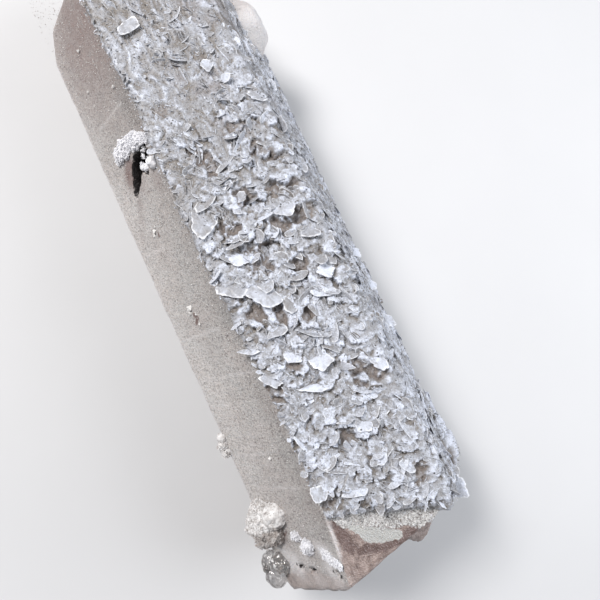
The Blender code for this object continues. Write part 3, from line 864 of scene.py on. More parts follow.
    @staticmethod
    def line_depth(x: np.ndarray, side: np.ndarray, line: Line) -> np.ndarray:
        """How deep inside a bent line of changing half width each place is: 1 on it, 0 at its border.

        Args:
            x: distance along the crystal.
            side: distance down the frosted face, or y on the top.
            line: x, side and half width of the line's points.

        Returns:
            The largest of 1 - distance / half width over the line's stretches, at least 0.
        """
        best = np.zeros(x.shape)
        for (x0, d0, w0), (x1, d1, w1) in zip(line[:-1], line[1:]):
            length = (x1 - x0) ** 2 + (d1 - d0) ** 2
            share = np.clip(((x - x0) * (x1 - x0) + (side - d0) * (d1 - d0)) / length, 0.0, 1.0)
            away = np.hypot(x - x0 - share * (x1 - x0), side - d0 - share * (d1 - d0))
            best = np.maximum(best, 1.0 - away / (w0 + share * (w1 - w0)))
        return best

    def deepest(self, x: np.ndarray, side: np.ndarray, lines: tuple[Line, ...]) -> np.ndarray:
        """The largest of the places' depths inside several lines."""
        return np.max([self.line_depth(x, side, line) for line in lines], axis=0)

    @staticmethod
    def druse(points: np.ndarray) -> np.ndarray:
        """How drusy the top is past the crust's blunt end: full at the crust, broken up and gone 4 mm on."""
        past = points[..., 0] - np.interp(points[..., 1] + PRISM_SIDE / 2.0, CRUST_STATIONS, CRUST_END)
        reach = np.interp(points[..., 1], (-9.0, -4.0, 0.0, 6.0, 12.0), (0.6, 2.8, 4.2, 4.3, 3.6))
        amount = smooth_step(0.6, -0.6, past - reach + 1.6 * rough_noise(points, 1.8, 3, 53))
        return amount * smooth_step(49.0, 51.0, points[..., 0])

    @staticmethod
    def patches(points: np.ndarray, spots: Table) -> np.ndarray:
        """The sum of strength * exp(-(distance / radius)^2) over the spots, at most 1."""
        total = np.zeros(points.shape[:-1])
        for x, y, z, radius, strength in spots:
            away = ((points - np.array((x, y, z))) ** 2).sum(-1)
            total += strength * np.exp(-away / radius**2)
        return np.clip(total, 0.0, 1.0)

    def located(self, points: np.ndarray) -> OnQuartz:
        """Where points of the bare crystal are on it."""
        outward = around_axis(Face.FROSTED.value)
        gap = np.abs((points - AXIS_HEIGHT * np.array((0.0, 0.0, 1.0))) @ outward - AXIS_HEIGHT)
        frosted = smooth_step(0.45, 0.15, gap)
        down = (ACROSS_FLATS - points[:, 2]) / math.cos(math.radians(FACE_TURN / 2.0))
        on_top = smooth_step(*self.top_level, points[:, 2]) * (1.0 - frosted)
        return OnQuartz(points, down, gap, frosted, on_top)

    def relief(self, at: OnQuartz, druse: np.ndarray) -> np.ndarray:
        """How far the surface stands out: noise in grains and swells, the cube of a noise drawn out across
        the crystal, and rougher noise on the druse and on the side crystal."""
        points, x = at.points, at.points[:, 0]
        ridges = smooth_noise(np.stack([x, 0.08 * at.down, 0.0 * x], -1), 0.9, 5) ** 3
        relief = self.grain * rough_noise(points, 1.0, 3, 3) + self.swells * rough_noise(points, 6.0, 2, 9)
        relief += self.ridges * ridges
        relief += self.drusy * druse * rough_noise(points, 1.3, 3, 51)
        middle, _, length = SHOULDER_CRYSTAL
        on_side = smooth_step(length, 0.8 * length, np.linalg.norm(points - middle, axis=-1))
        on_side *= smooth_step(20.0, 21.5, points[:, 1])
        return relief + self.side_relief * on_side * rough_noise(points, 3.0, 3, 57)

    def thickness(self, at: OnQuartz) -> np.ndarray:
        """How thick the frost is: by the distance down the frosted face, thinnest by the crust, where its
        darker colour is partly painted shadow of the crust, thinner towards the pointed end and thicker past
        the middle, with slow noise."""
        x = at.points[:, 0]
        thickness = np.interp(at.down, *self.frost_share_with_crust_shadow) - 0.24 * smooth_step(-14.0, -26.0, x)
        thickness += 0.16 * smooth_step(12.0, 25.0, x) * smooth_step(64.0, 58.0, x)
        thickness += 0.12 * rough_noise(at.points, 3.0, 3, 43)
        return np.where(at.frosted > 0.5, thickness, 0.5)

    def glassiness(self, at: OnQuartz, wobble: np.ndarray) -> np.ndarray:
        """How bare of frost it is: past the frost's end, on the shoulder, and near the pointed end."""
        x, elsewhere = at.points[:, 0], 1.0 - at.frosted
        frost_end = np.interp(at.down, *self.frost_end) + 0.5 * wobble
        smooth_end = 0.75 * (smooth_step(-0.4, 0.3, x - frost_end) * at.frosted)
        shoulder = smooth_step(SHOULDER_START - 1.0, SHOULDER_START + 1.0, x) * elsewhere
        pointed = smooth_step(*self.bare_point, x) * elsewhere * 0.8
        return np.maximum(np.maximum(smooth_end, shoulder), pointed)

    def paleness(self, at: OnQuartz) -> np.ndarray:
        """How pale it is: in patches, on the growth lines, and along the edges of the frosted face."""
        x = at.points[:, 0]
        pale = self.patches(at.points, self.pale_patches)
        pale *= 1.0 + 0.4 * rough_noise(at.points, 0.9, 3, 41)
        grown = 0.38 * np.sqrt(self.deepest(x, at.down, self.growth_lines)) * at.frosted
        rim = smooth_step(1.0, 0.35, at.gap) * at.on_top
        rim *= smooth_step(52.5, 54.0, x)
        rim *= smooth_step(62.0, 60.0, x)
        low_edge = 0.4 * smooth_step(19.4, 20.4, at.down) * at.frosted
        return np.max([pale, grown, rim, low_edge], axis=0)

    def surface(self) -> Surface:
        """The exits of the rays, with the relief, the pit sunk into them, and flat where it rests."""
        starts, rays = self.rays()
        at = self.located(starts + self.reach(starts, rays)[:, None] * rays)
        x, y = at.points[:, 0], at.points[:, 1]
        wobble = self.wobble * rough_noise(at.points, 0.9, 3, 21)
        pit = self.deepest(x, at.down, self.pit_lines)
        pit = np.where(pit > 0.0, np.clip(1.6 * pit + wobble, 0.0, 1.0), 0.0) * at.frosted
        druse = self.druse(at.points) * (1.0 - at.frosted)
        crumbs = self.deepest(x, at.down, self.crumbs) * at.frosted
        warmth = self.patches(at.points, self.warm_patches)
        values = {
            # Frost thickness: its low values by the crust are partly painted shadow.
            "thickness": self.thickness(at),
            "glassy": self.glassiness(at, wobble),
            "warmth": warmth * (1.0 + 0.5 * rough_noise(at.points, 1.2, 3, 31)),
            "brown": np.maximum(self.deepest(x, y, self.brown_lines) * at.on_top, crumbs),
            "pale": self.paleness(at),
            "sheet": self.line_depth(x, y, self.pale_line) * at.on_top,
            "druse": druse,
            # The pit's mask sinks the pit and paints it near black, painted shade.
            "pit": pit,
        }
        sunk = self.pit_depth * smooth_step(0.3, 0.75, pit)
        points = at.points + (self.relief(at, druse) - sunk)[:, None] * rays
        points[:, 2] = np.maximum(points[:, 2], 0.0)
        rings = 2 * (self.end_rings - 1) + self.middle_rings
        return facing_out(Surface(points, tube_faces(rings, sum(self.samples)), values))

    def build(self, finish: FrostedQuartz) -> None:
        """Write the crystal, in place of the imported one."""
        material = finish.material()
        write_piece("quartz_crystal_dressed", self.surface(), material, "frosted_quartz", "quartz_crystal")


# ---------------------------------------------------------------- grains and blocks


def turned_frames(rng: np.random.Generator, count: int) -> np.ndarray:
    """Random orthonormal frames, from two random vectors made square to each other."""
    first = unit(rng.normal(size=(count, 3)))
    second = unit(np.cross(first, rng.normal(size=(count, 3))))
    return np.stack([first, second, np.cross(first, second)], 1)


def octahedra(centres: np.ndarray, sizes: np.ndarray, tones: np.ndarray, rng: np.random.Generator) -> Surface:
    """Grains with six corners: plus and minus three unequal half axes, turned at random.

    Args:
        centres: the grains' middles.
        sizes: their mean half length.
        tones: their value of tone.
        rng: where the random turns come from.

    Returns:
        All of them as one surface, with tone.
    """
    count = len(centres)
    frames = turned_frames(rng, count) * (sizes[:, None] * rng.uniform(0.6, 1.4, (count, 3)))[..., None]
    corners = np.concatenate([frames, -frames], 1) + centres[:, None, :]
    pattern = ((0, 1, 2), (1, 3, 2), (3, 4, 2), (4, 0, 2), (1, 0, 5), (3, 1, 5), (4, 3, 5), (0, 4, 5))
    faces = (6 * np.arange(count)[:, None, None] + np.array(pattern)).reshape(-1, 3)
    return Surface(corners.reshape(-1, 3), [faces], {"tone": np.repeat(tones, 6)})


@dataclass(frozen=True)
class FrostGrains:
    """The sugary grains on the frosted face and its neighbours."""

    count: int = 5500
    druse_count: int = 9000
    sizes: tuple[float, float] = (0.05, 0.15)
    # How far their middles stand off the quartz: the scattered ones, the larger ones, the druse's.
    lift: float = 0.04
    larger_lift: float = 0.15
    druse_lift: float = 0.1
    # The larger white grains: x, down, half size.
    larger: Line = (
        (-6.7, 11.6, 0.55),
        (-5.9, 12.2, 0.40),
        (-7.3, 11.0, 0.35),
        (9.8, 11.3, 0.8),
        (10.6, 12.0, 0.5),
        (13.4, 10.4, 0.4),
        (41.4, 7.4, 0.40),
        (11.5, 10.3, 0.25),
        (-33.0, 4.0, 0.35),
        (-45.0, 10.0, 0.4),
        (-38.0, 13.0, 0.3),
    )
    seed: int = 71

    def surface(self) -> Surface:
        """Octahedra scattered over the frosted face, thicker in drifts, and the larger ones in place."""
        rng = np.random.default_rng(self.seed)
        quartz = Quartz()
        x = rng.uniform(-66.0, 66.0, 2 * self.count)
        down = rng.uniform(0.2, 20.4, 2 * self.count)
        drift = rough_noise(on_frosted(x, down), 5.0, 3, 77)
        free = quartz.deepest(x, down, quartz.pit_lines) <= 0.0
        free &= (x < np.interp(down, *quartz.frost_end)) | (rng.uniform(size=len(x)) < 0.15)
        kept = np.nonzero(free & (drift + rng.uniform(-0.9, 0.9, len(x)) > 0.0))[0][: self.count]
        low, high = self.sizes
        sizes = rng.uniform(0.0, 1.0, len(kept)) ** 2.2 * (high - low) + low
        places = on_frosted(x[kept], down[kept], self.lift)
        scattered = octahedra(places, sizes, rng.uniform(0.3, 0.9, len(kept)), rng)
        x, down, sizes = np.array(self.larger).T
        blocks = octahedra(on_frosted(x, down, self.larger_lift), sizes, np.ones(len(x)), rng)
        return join([scattered, blocks])

    def druse(self) -> Surface:
        """Grains over the drusy part of the shoulder, set on its sloping plane."""
        rng = np.random.default_rng(self.seed + 1)
        x = rng.uniform(50.0, 66.0, self.druse_count)
        y = rng.uniform(-10.0, 10.3, self.druse_count)
        z = ACROSS_FLATS - math.tan(SHOULDER_SLOPE) * np.maximum(x - SHOULDER_START, 0.0)
        points = np.stack([x, y, z], -1)
        kept = Quartz.druse(points) > rng.uniform(0.25, 1.0, len(x))
        kept &= (points - np.array(END_CORNER)) @ unit(np.array(END_NORMAL)) < -GAP
        points = points[kept] + np.array((0.0, 0.0, self.druse_lift))
        sizes = 0.08 + 0.26 * rng.beta(1.2, 2.5, len(points))
        return octahedra(points, sizes, rng.uniform(0.3, 1.0, len(points)), rng)

    def build(self, finish: WhiteAggregate) -> None:
        """Write the grains."""
        material = finish.material()
        write_piece("frost_grains", self.surface(), material, "frosted_quartz", sharp_degrees=20.0)
        write_piece("druse_grains", self.druse(), material, "frosted_quartz", sharp_degrees=20.0)


# ---------------------------------------------------------------- plates


@dataclass(frozen=True)
class PlateForm:
    """How plates are made: shares of the radius for the rings of the top, points around, how uneven the
    outline is as a part of the radius, and how rough the faces are in millimetres."""

    rings: tuple[float, ...]
    around: int
    lobes: float
    roughness: float


@dataclass(frozen=True)
class PlateLayer:
    """Plates scattered over the crust: the spacing of their places, how they are made, the ranges of their
    thickness and dish, their usual tone with its spread and floor, and where on its length each stands."""

    spacing: float
    form: PlateForm
    thickness: tuple[float, float]
    dish: tuple[float, float]
    tone: float
    tone_spread: float
    tone_floor: float
    stand: float


@dataclass
class Plates:
    """Plates on the crust, one to a row: where each is rooted and how it stands."""

    x: np.ndarray
    u: np.ndarray
    height: np.ndarray
    wide: np.ndarray
    long: np.ndarray
    tilt: np.ndarray
    heading: np.ndarray
    thickness: np.ndarray
    dish: np.ndarray
    tone: np.ndarray
    stand: np.ndarray

    def outline(self, phi: np.ndarray, lobes: float, rng: np.random.Generator) -> np.ndarray:
        """How far out the rim is at each angle: six uneven straight sides with rounded corners.

        Args:
            phi: the angles.
            lobes: how uneven the rim is.
            rng: where the sides come from.

        Returns:
            The least of a_m / cos(phi - p_m) over the sides, held under 1.15, and made uneven.
        """
        n = len(phi)
        sides = 2.0 * math.pi * (np.arange(6)[None] + rng.uniform(-0.5, 0.5, (n, 6))) / 6.0
        away = rng.uniform(0.6, 1.1, (n, 6))
        facing = np.cos(phi[..., None] - sides[:, None])
        straight = (away[:, None] / np.maximum(facing, 0.2)).min(-1)
        return np.minimum(straight, 1.15 + 0.1 * np.cos(phi)) + lobes * rng.uniform(-0.8, 0.8, phi.shape)

    def frames(self) -> tuple[np.ndarray, ...]:
        """Each plate's middle, and unit vectors along its width, along its length and out of its face."""
        root, across, outward = unrolled(self.x, self.u, self.height)
        heading, tilt = self.heading[:, None], self.tilt[:, None]
        rise = np.cos(heading) * X_AXIS + np.sin(heading) * across
        climb = np.cos(tilt) * rise + np.sin(tilt) * outward
        face = np.cos(tilt) * outward - np.sin(tilt) * rise
        middle = root + (self.stand * self.long)[:, None] * climb
        return tuple(part[:, None] for part in (middle, np.cross(climb, face), climb, face))

    def surface(self, form: PlateForm, rng: np.random.Generator) -> Surface:
        """Plates dished by d r^2 over their width and length, and tapered to the rim by t (1 - 0.7 r^4).

        Args:
            form: how finely they are made.
            rng: where the outlines come from.

        Returns:
            All of them as one surface, with tone and rim.
        """
        n, k = len(self.x), form.around
        phi = 2.0 * math.pi * (np.arange(k)[None] + rng.uniform(-0.25, 0.25, (n, k))) / k
        outline = self.outline(phi, form.lobes, rng)
        half = 0.5 * self.thickness[:, None]
        layers = []
        for share in (0.0, *form.rings):
            wide = share * outline * self.wide[:, None] * np.cos(phi)
            long = share * outline * self.long[:, None] * np.sin(phi)
            bend = self.dish[:, None] * (wide**2 + long**2) / np.maximum(self.wide, self.long)[:, None]
            lift = bend + half * (1.0 - 0.7 * share**4)
            layers.append(np.stack([wide, long, lift, np.full((n, k), share)]))
        top = layers[0][..., :1]
        under_rim, bottom = layers[-1].copy(), top.copy()
        under_rim[2] -= 0.6 * half
        bottom[2] -= 2.0 * half
        wide, long, lift, rim = np.concatenate([top, *layers[1:], under_rim, bottom], -1)
        middle, level, climb, face = self.frames()
        points = middle + wide[..., None] * level + long[..., None] * climb + lift[..., None] * face
        points = points + (form.roughness * rough_noise(points, 0.9, 2, 17))[..., None] * face
        quads, start, end = tube_faces(len(form.rings) + 1, k)
        caps = np.concatenate([start[:, ::-1], np.roll(end[:, ::-1], -1, axis=1)])
        squares = np.roll(quads[:, ::-1], 1, axis=1)
        offsets = points.shape[1] * np.arange(n)[:, None, None]
        faces = [(group + offsets).reshape(-1, group.shape[1]) for group in (caps, squares)]
        none = np.zeros((n, 1))
        streak = np.tile(rng.normal(0.0, 0.10, (n, k)), (1, len(form.rings) + 1))
        streaks = rim * np.concatenate([none, streak, none], 1)
        tone = np.clip(self.tone[:, None] + streaks + 0.22 * rough_noise(points, 1.1, 2, 19), 0.0, 1.0)
        return Surface(points.reshape(-1, 3), faces, {"tone": tone.ravel(), "rim": rim.ravel()})


# The largest plates: x, u, width, length, tilt, and the heading that it rises along, in degrees.
LEADING_PLATES = (
    (6.6, 5.3, 4.6, 3.6, 22, -25),
    (-1.5, 1.9, 4.9, 6.0, 20, -40),
    (11.0, 1.6, 6.1, 4.2, 24, -30),
    (1.4, 15.7, 4.7, 4.4, 26, 5),
    (7.1, 18.5, 4.0, 4.4, 30, -10),
    (14.7, 18.0, 4.3, 2.8, 18, -25),
    (13.9, 6.5, 6.6, 5.8, 18, -20),
    (17.6, 9.6, 3.6, 3.2, 24, -60),
    (12.2, 36.6, 3.2, 5.0, 24, 60),
    (20.1, 36.3, 3.6, 5.2, 26, 70),
    (28.2, 35.6, 3.8, 6.5, 24, 60),
    (25.8, 6.4, 4.0, 3.4, 28, -30),
    (28.7, 10.6, 4.5, 3.6, 22, 0),
    (28.2, 1.6, 4.3, 2.6, 30, -50),
    (32.5, 7.8, 5.2, 2.4, 40, -20),
    (48.4, 1.2, 3.4, 3.2, 25, -60),
    (33.2, 19.7, 3.2, 4.2, 24, 15),
    (31.3, 13.8, 2.2, 5.6, 62, 60),
    (41.8, 12.7, 3.0, 3.4, 30, -15),
    (-28.5, 14.6, 3.0, 3.1, 24, -20),
    (-19.6, 20.0, 5.0, 3.0, 20, -10),
    (-40.0, 4.6, 4.4, 3.0, 9, 20),
    (63.6, 31.5, 5.4, 5.0, 60, 90),
)
LEADING_TONES = (
    1.0, 0.51, 0.54, 0.68, 0.57, 1.0, 0.66, 0.34, 1.0, 0.92, 0.76, 0.80, 0.83,
    0.56, 0.92, 0.55, 0.86, 0.74, 0.80, 0.70, 0.62, 0.50, 0.76,
)


# ---------------------------------------------------------------- the crust's relief


@dataclass(frozen=True)
class ScaleLayer:
    """Overlapping scales: their spacing, radii, the rise of their free edges, and how much headings vary."""

    spacing: float
    radius: tuple[float, float]
    rise: tuple[float, float]
    wander: float


# The hollows between the plates, brown partly by colour and partly by painted shade: x, u, radius, depth.
HOLLOWS = (
    (-23.5, 3.7, 1.7, 0.5),
    (-14.5, 5.9, 1.2, 0.7),
    (-12.4, 7.2, 1.2, 0.8),
    (-10.3, 8.1, 1.2, 0.8),
    (-15.8, 14.1, 1.4, 0.7),
    (-10.7, 16.1, 1.2, 0.7),
    (-8.7, 18.5, 1.4, 0.6),
    (-3.5, 10.5, 1.3, 0.8),
    (-2.4, 16.2, 1.3, 0.7),
    (-2.2, 19.5, 1.1, 0.6),
    (1.6, 5.8, 1.6, 0.9),
    (3.9, 14.1, 1.7, 1.0),
    (7.2, 9.3, 1.8, 1.0),
    (3.0, 18.2, 1.3, 0.8),
    (9.1, 8.3, 1.6, 0.9),
    (16.8, 4.4, 1.5, 1.0),
    (18.4, 7.5, 1.6, 0.9),
    (20.6, 12.1, 1.3, 0.8),
    (11.8, 14.5, 1.3, 0.8),
    (28.1, 5.9, 1.2, 1.2),
    (30.0, 1.2, 1.4, 0.8),
    (32.1, 16.7, 1.5, 0.9),
    (34.4, 18.8, 1.4, 0.8),
    (36.1, 15.8, 1.3, 0.8),
    (53.8, 18.4, 1.4, 0.8),
    (43.1, 9.3, 1.4, 0.5),
    (51.0, 1.4, 1.4, 0.6),
    (-31.0, 14.5, 1.6, 0.4),
)

# Brown fibrous places in the fine part of the crust: x, u, radius, strength.
STAINS = (
    (-40.0, 16.2, 2.6, 0.7),
    (-37.4, 18.4, 2.0, 0.6),
    (-41.0, 24.1, 3.0, 0.8),
    (-38.6, 27.4, 1.6, 0.5),
    (-25.4, 12.0, 2.0, 0.7),
    (-26.8, 15.3, 1.5, 0.6),
    (-31.0, 8.0, 1.3, 0.5),
    (-46.0, 12.0, 3.0, 0.5),
    (-43.5, 20.0, 2.6, 1.0),
    (-45.5, 26.0, 3.0, 1.0),
    (-36.8, 22.0, 1.8, 0.7),
    (-27.6, 9.4, 1.6, 0.8),
    (-24.2, 14.4, 1.7, 0.9),
    (-17.0, 12.5, 1.8, 0.8),
    (-14.6, 15.4, 1.6, 0.9),
    (-20.0, 25.5, 1.8, 0.8),
    (-39.6, 23.4, 4.4, 0.9),
)


@dataclass
class Relief:
    """The crust's surface as heights over the unrolled prism, on a raster."""

    step: float = 0.14
    low: tuple[float, float] = (-55.0, -4.0)
    high: tuple[float, float] = (67.0, 52.0)
    thickness: float = 0.95
    # How high it stands: slow swells, folds where it is fine-grained, fine grain, fibres.
    swells: float = 0.30
    folds: float = 0.35
    grain: float = 0.13
    fibres: float = 0.18
    # Its tone: the usual one, and how much more where it stands over what is near and over a wider round,
    # which is painted light on raised places and painted shade in low ones.
    tone_middle: float = 0.54
    painted_shade_near: float = 1.4
    painted_shade_wide: float = 0.45
    near: float = 0.45
    wide: float = 1.6
    lobe_count: int = 130
    layers: tuple[ScaleLayer, ...] = (
        ScaleLayer(3.3, (1.6, 3.2), (0.55, 1.15), 0.55),
        ScaleLayer(1.7, (0.8, 1.7), (0.3, 0.75), 0.75),
        ScaleLayer(0.85, (0.4, 0.85), (0.15, 0.4), 1.1),
    )
    seed: int = 191

    def __post_init__(self) -> None:
        """Draw the layers over slow swells, sink the hollows, and work out tone, with painted light and shade
        by height, and brown, partly painted shade in the hollows.
        """
        rng = np.random.default_rng(self.seed)
        shape = [int((high - low) / self.step) for low, high in zip(self.low, self.high)]
        i, j = np.meshgrid(np.arange(shape[0]), np.arange(shape[1]), indexing="ij")
        x, u = self.low[0] + self.step * i, self.low[1] + self.step * j
        flat = np.stack([x, u, 0.0 * x], -1)
        lobes = self.lobes(x, u)
        platy = self.platy(x, u)
        fine_grained = 1.0 - platy
        domes = smooth_step(0.1, 0.5, self.spheres(x, u, CRUST_LOBES + FAR_DOMES))
        self.round_tops = np.maximum(0.8 * smooth_step(0.1, 0.6, lobes), domes)
        standing = platy * (1.0 - 0.95 * self.round_tops) * (1.0 - 0.6 * smooth_step(35.0, 39.0, u))
        warped = 1.1 * smooth_noise(flat, 1.5, self.seed + 1) + 0.5 * smooth_noise(flat, 0.6, self.seed + 2)
        hollow = self.spots(x, u, HOLLOWS, 0.6 * warped, (1.4, 0.5), 1.1, 0.95)
        bent = 2.6 * smooth_noise(flat, 4.5, self.seed + 8)
        drawn_out = np.stack([0.35 * x - 1.6 * u + bent, 0.3 * (x + u), 0.0 * x], -1)
        fibres = smooth_noise(drawn_out, 0.8, self.seed + 3)
        fine = rough_noise(flat, 0.9, 3, self.seed + 4)
        folds = self.folds * fine_grained * rough_noise(flat, 3.6, 2, self.seed + 7)
        self.height = self.thickness + self.swells * rough_noise(flat, 7.0, 2, self.seed) + lobes + folds
        for layer in self.layers:
            self.height = self.draw(self.height, layer, standing, rng)
        self.height += self.grain * fine * (1.0 - 0.7 * self.round_tops) + self.fibres * fibres * fine_grained
        self.height -= hollow * (1.0 - domes)
        near = self.height - self.blurred(self.height, self.near)
        wide = self.height - self.blurred(self.height, self.wide)
        drift = 0.26 * rough_noise(flat, 2.5, 3, self.seed + 5) + 0.2 * fibres * fine_grained
        drift += 0.30 * fine_grained * rough_noise(flat, 4.0, 2, self.seed + 6)
        drift += 0.14 * self.round_tops + 0.32 * domes - 0.10 * fine_grained - 0.10 * dimmed(x)
        # Painted light and shade: tone rises where the crust stands over what is near and falls where it lies
        # below.
        standing = self.painted_shade_near * near + self.painted_shade_wide * wide
        self.tone = np.clip(self.tone_middle + standing + drift, 0.0, 1.0)
        # Brown where the crust is low: partly its own colour, partly painted shade; the stains are real
        # colour.
        brown = smooth_step(0.25, 0.6, hollow) + smooth_step(0.45, 0.9, -wide + 0.3 * warped)
        brown = np.clip(brown, 0.0, 1.0) * smooth_step(0.55, 0.1, near + 0.25)
        stain = self.spots(x, u, STAINS, 0.5 * warped, (1.3, 0.4)) * (0.75 + 0.25 * fibres)
        self.brown = np.maximum(brown, stain)

    @staticmethod
    def spots(x: np.ndarray, u: np.ndarray, spots: Table, warp: np.ndarray, fade: tuple[float, float],
              widen: float = 1.0, share: float = 1.0) -> np.ndarray:
        """How strongly round spots with uneven borders cover each place.

        Args:
            x: distance along the axis.
            u: distance across the faces.
            spots: x, u, radius and strength of each.
            warp: added to the distances in radii.
            fade: the distances where a spot starts to show and where it is full.
            widen: a factor on all radii.
            share: a factor on all strengths.

        Returns:
            The largest over the spots of strength * smooth step of (distance / radius + warp).
        """
        best = np.zeros(x.shape)
        for sx, su, radius, strength in spots:
            away = np.hypot(x - sx, u - su) / (widen * radius) + warp
            best = np.maximum(best, share * strength * smooth_step(*fade, away))
        return best

    @staticmethod
    def platy(x: np.ndarray, u: np.ndarray) -> np.ndarray:
        """How plate-like the crust is: little towards the pointed end and the near edge, 1 elsewhere."""
        swell = smooth_noise(np.stack([x, u, 0.0 * x], -1), 9.0, 61)
        return np.clip(0.25 + 0.75 * smooth_step(-22.0, 2.0, x + 0.8 * u + 7.0 * swell), 0.0, 1.0)

    def lobes(self, x: np.ndarray, u: np.ndarray) -> np.ndarray:
        """The rounded lobes along the far edge: spheres cut by the crust."""
        rng = np.random.default_rng(self.seed + 10)
        low, high = (-38.0, 25.0, 1.4, 1.6), (60.0, 45.0, 2.8, 2.5)
        small = rng.uniform(low, high, (self.lobe_count, 4))
        return self.spheres(x, u, (*small, *CRUST_LOBES, *FAR_DOMES))

    @staticmethod
    def spheres(x: np.ndarray, u: np.ndarray, spheres: Table) -> np.ndarray:
        """How far spheres stand out of the crust, by their x, u, radius and height: the highest top."""
        rise = np.zeros(np.shape(x))
        for lx, lu, radius, height in spheres:
            level = height - radius + np.sqrt(np.maximum(radius**2 - (x - lx) ** 2 - (u - lu) ** 2, 0.0))
            rise = np.maximum(rise, 0.9 * level - 1.1)
        return rise

    def draw(self, field: np.ndarray, layer: ScaleLayer, standing: np.ndarray,
             rng: np.random.Generator) -> np.ndarray:
        """The field with a layer of scales on it: each is five-sided and rises evenly from its root to its
        free edge, and is kept where it is higher than what is there.

        Args:
            field: the heights so far.
            layer: the scales' sizes.
            standing: how strongly scales stand up.
            rng: where their places and outlines come from.

        Returns:
            The new heights.
        """
        result = field.copy()
        rows, columns = (int(size * self.step / layer.spacing) for size in field.shape)
        i, j = np.meshgrid(np.arange(rows), np.arange(columns), indexing="ij")
        ci = ((i + 0.5 * (j % 2) + rng.uniform(-0.4, 0.4, i.shape)) * layer.spacing / self.step).ravel()
        cj = ((j + 0.5 + rng.uniform(-0.4, 0.4, i.shape)) * layer.spacing / self.step).ravel()
        count = len(ci)
        radius = rng.uniform(*layer.radius, count) / self.step
        rise = rng.uniform(*layer.rise, count)
        stretch = rng.uniform(0.7, 1.4, count)
        heading = usual_heading(rng, count, layer.wander)
        sides_at = 2.0 * math.pi * (np.arange(5) + rng.uniform(-0.35, 0.35, (count, 5))) / 5.0
        sides_away = rng.uniform(0.65, 1.05, (count, 5))
        for k in rng.permutation(count):
            reach = 1.5 * radius[k]
            i0, i1 = max(0, int(ci[k] - reach)), min(field.shape[0], int(ci[k] + reach) + 1)
            j0, j1 = max(0, int(cj[k] - reach)), min(field.shape[1], int(cj[k] + reach) + 1)
            if i0 >= i1 or j0 >= j1:
                continue
            di = (np.arange(i0, i1)[:, None] - ci[k]) / radius[k]
            dj = (np.arange(j0, j1)[None, :] - cj[k]) / radius[k]
            ahead = di * math.cos(heading[k]) + dj * math.sin(heading[k])
            aside = (dj * math.cos(heading[k]) - di * math.sin(heading[k])) / stretch[k]
            here = tuple(min(max(int(c), 0), size - 1) for c, size in zip((ci[k], cj[k]), field.shape))
            level = field[here] + standing[here] * rise[k] * (0.5 + 0.5 * ahead)
            sides = np.cos(sides_at[k])[:, None, None] * ahead + np.sin(sides_at[k])[:, None, None] * aside
            inside = (sides < sides_away[k][:, None, None]).all(0)
            window = result[i0:i1, j0:j1]
            result[i0:i1, j0:j1] = np.where(inside, np.maximum(window, level), window)
        return result

    def blurred(self, field: np.ndarray, size: float) -> np.ndarray:
        """The field blurred by a bell curve of this size, by way of its Fourier transform."""
        fi = np.fft.fftfreq(field.shape[0], self.step)[:, None]
        fj = np.fft.rfftfreq(field.shape[1], self.step)[None, :]
        bell = np.exp(-2.0 * (math.pi * size) ** 2 * (fi**2 + fj**2))
        return np.fft.irfft2(np.fft.rfft2(field) * bell, field.shape)

    def at(self, field: np.ndarray, x: np.ndarray, u: np.ndarray) -> np.ndarray:
        """The field's value at any places, blended between the raster's four nearest."""
        i = np.clip((x - self.low[0]) / self.step, 0.0, field.shape[0] - 1.001)
        j = np.clip((u - self.low[1]) / self.step, 0.0, field.shape[1] - 1.001)
        i0, j0 = i.astype(int), j.astype(int)
        di, dj = i - i0, j - j0
        first = field[i0, j0] * (1.0 - dj) + field[i0, j0 + 1] * dj
        second = field[i0 + 1, j0] * (1.0 - dj) + field[i0 + 1, j0 + 1] * dj
        return first * (1.0 - di) + second * di


def dimmed(x: np.ndarray) -> np.ndarray:
    """How much duller the crust is along the crystal: 1 across its middle, less towards both ends."""
    middle = smooth_step(18.0, 6.0, x) * smooth_step(-26.0, -14.0, x)
    return middle + 0.6 * smooth_step(-24.0, -38.0, x)


def usual_heading(rng: np.random.Generator, count: int, wander: float) -> np.ndarray:
    """The way plates rise: most along the crystal, a little towards the frosted face, the rest anyhow."""
    usual = rng.normal(math.radians(-22.0), wander, count)
    free = rng.uniform(-math.pi, math.pi, count)
    return np.where(rng.uniform(size=count) < 0.8, usual, free)


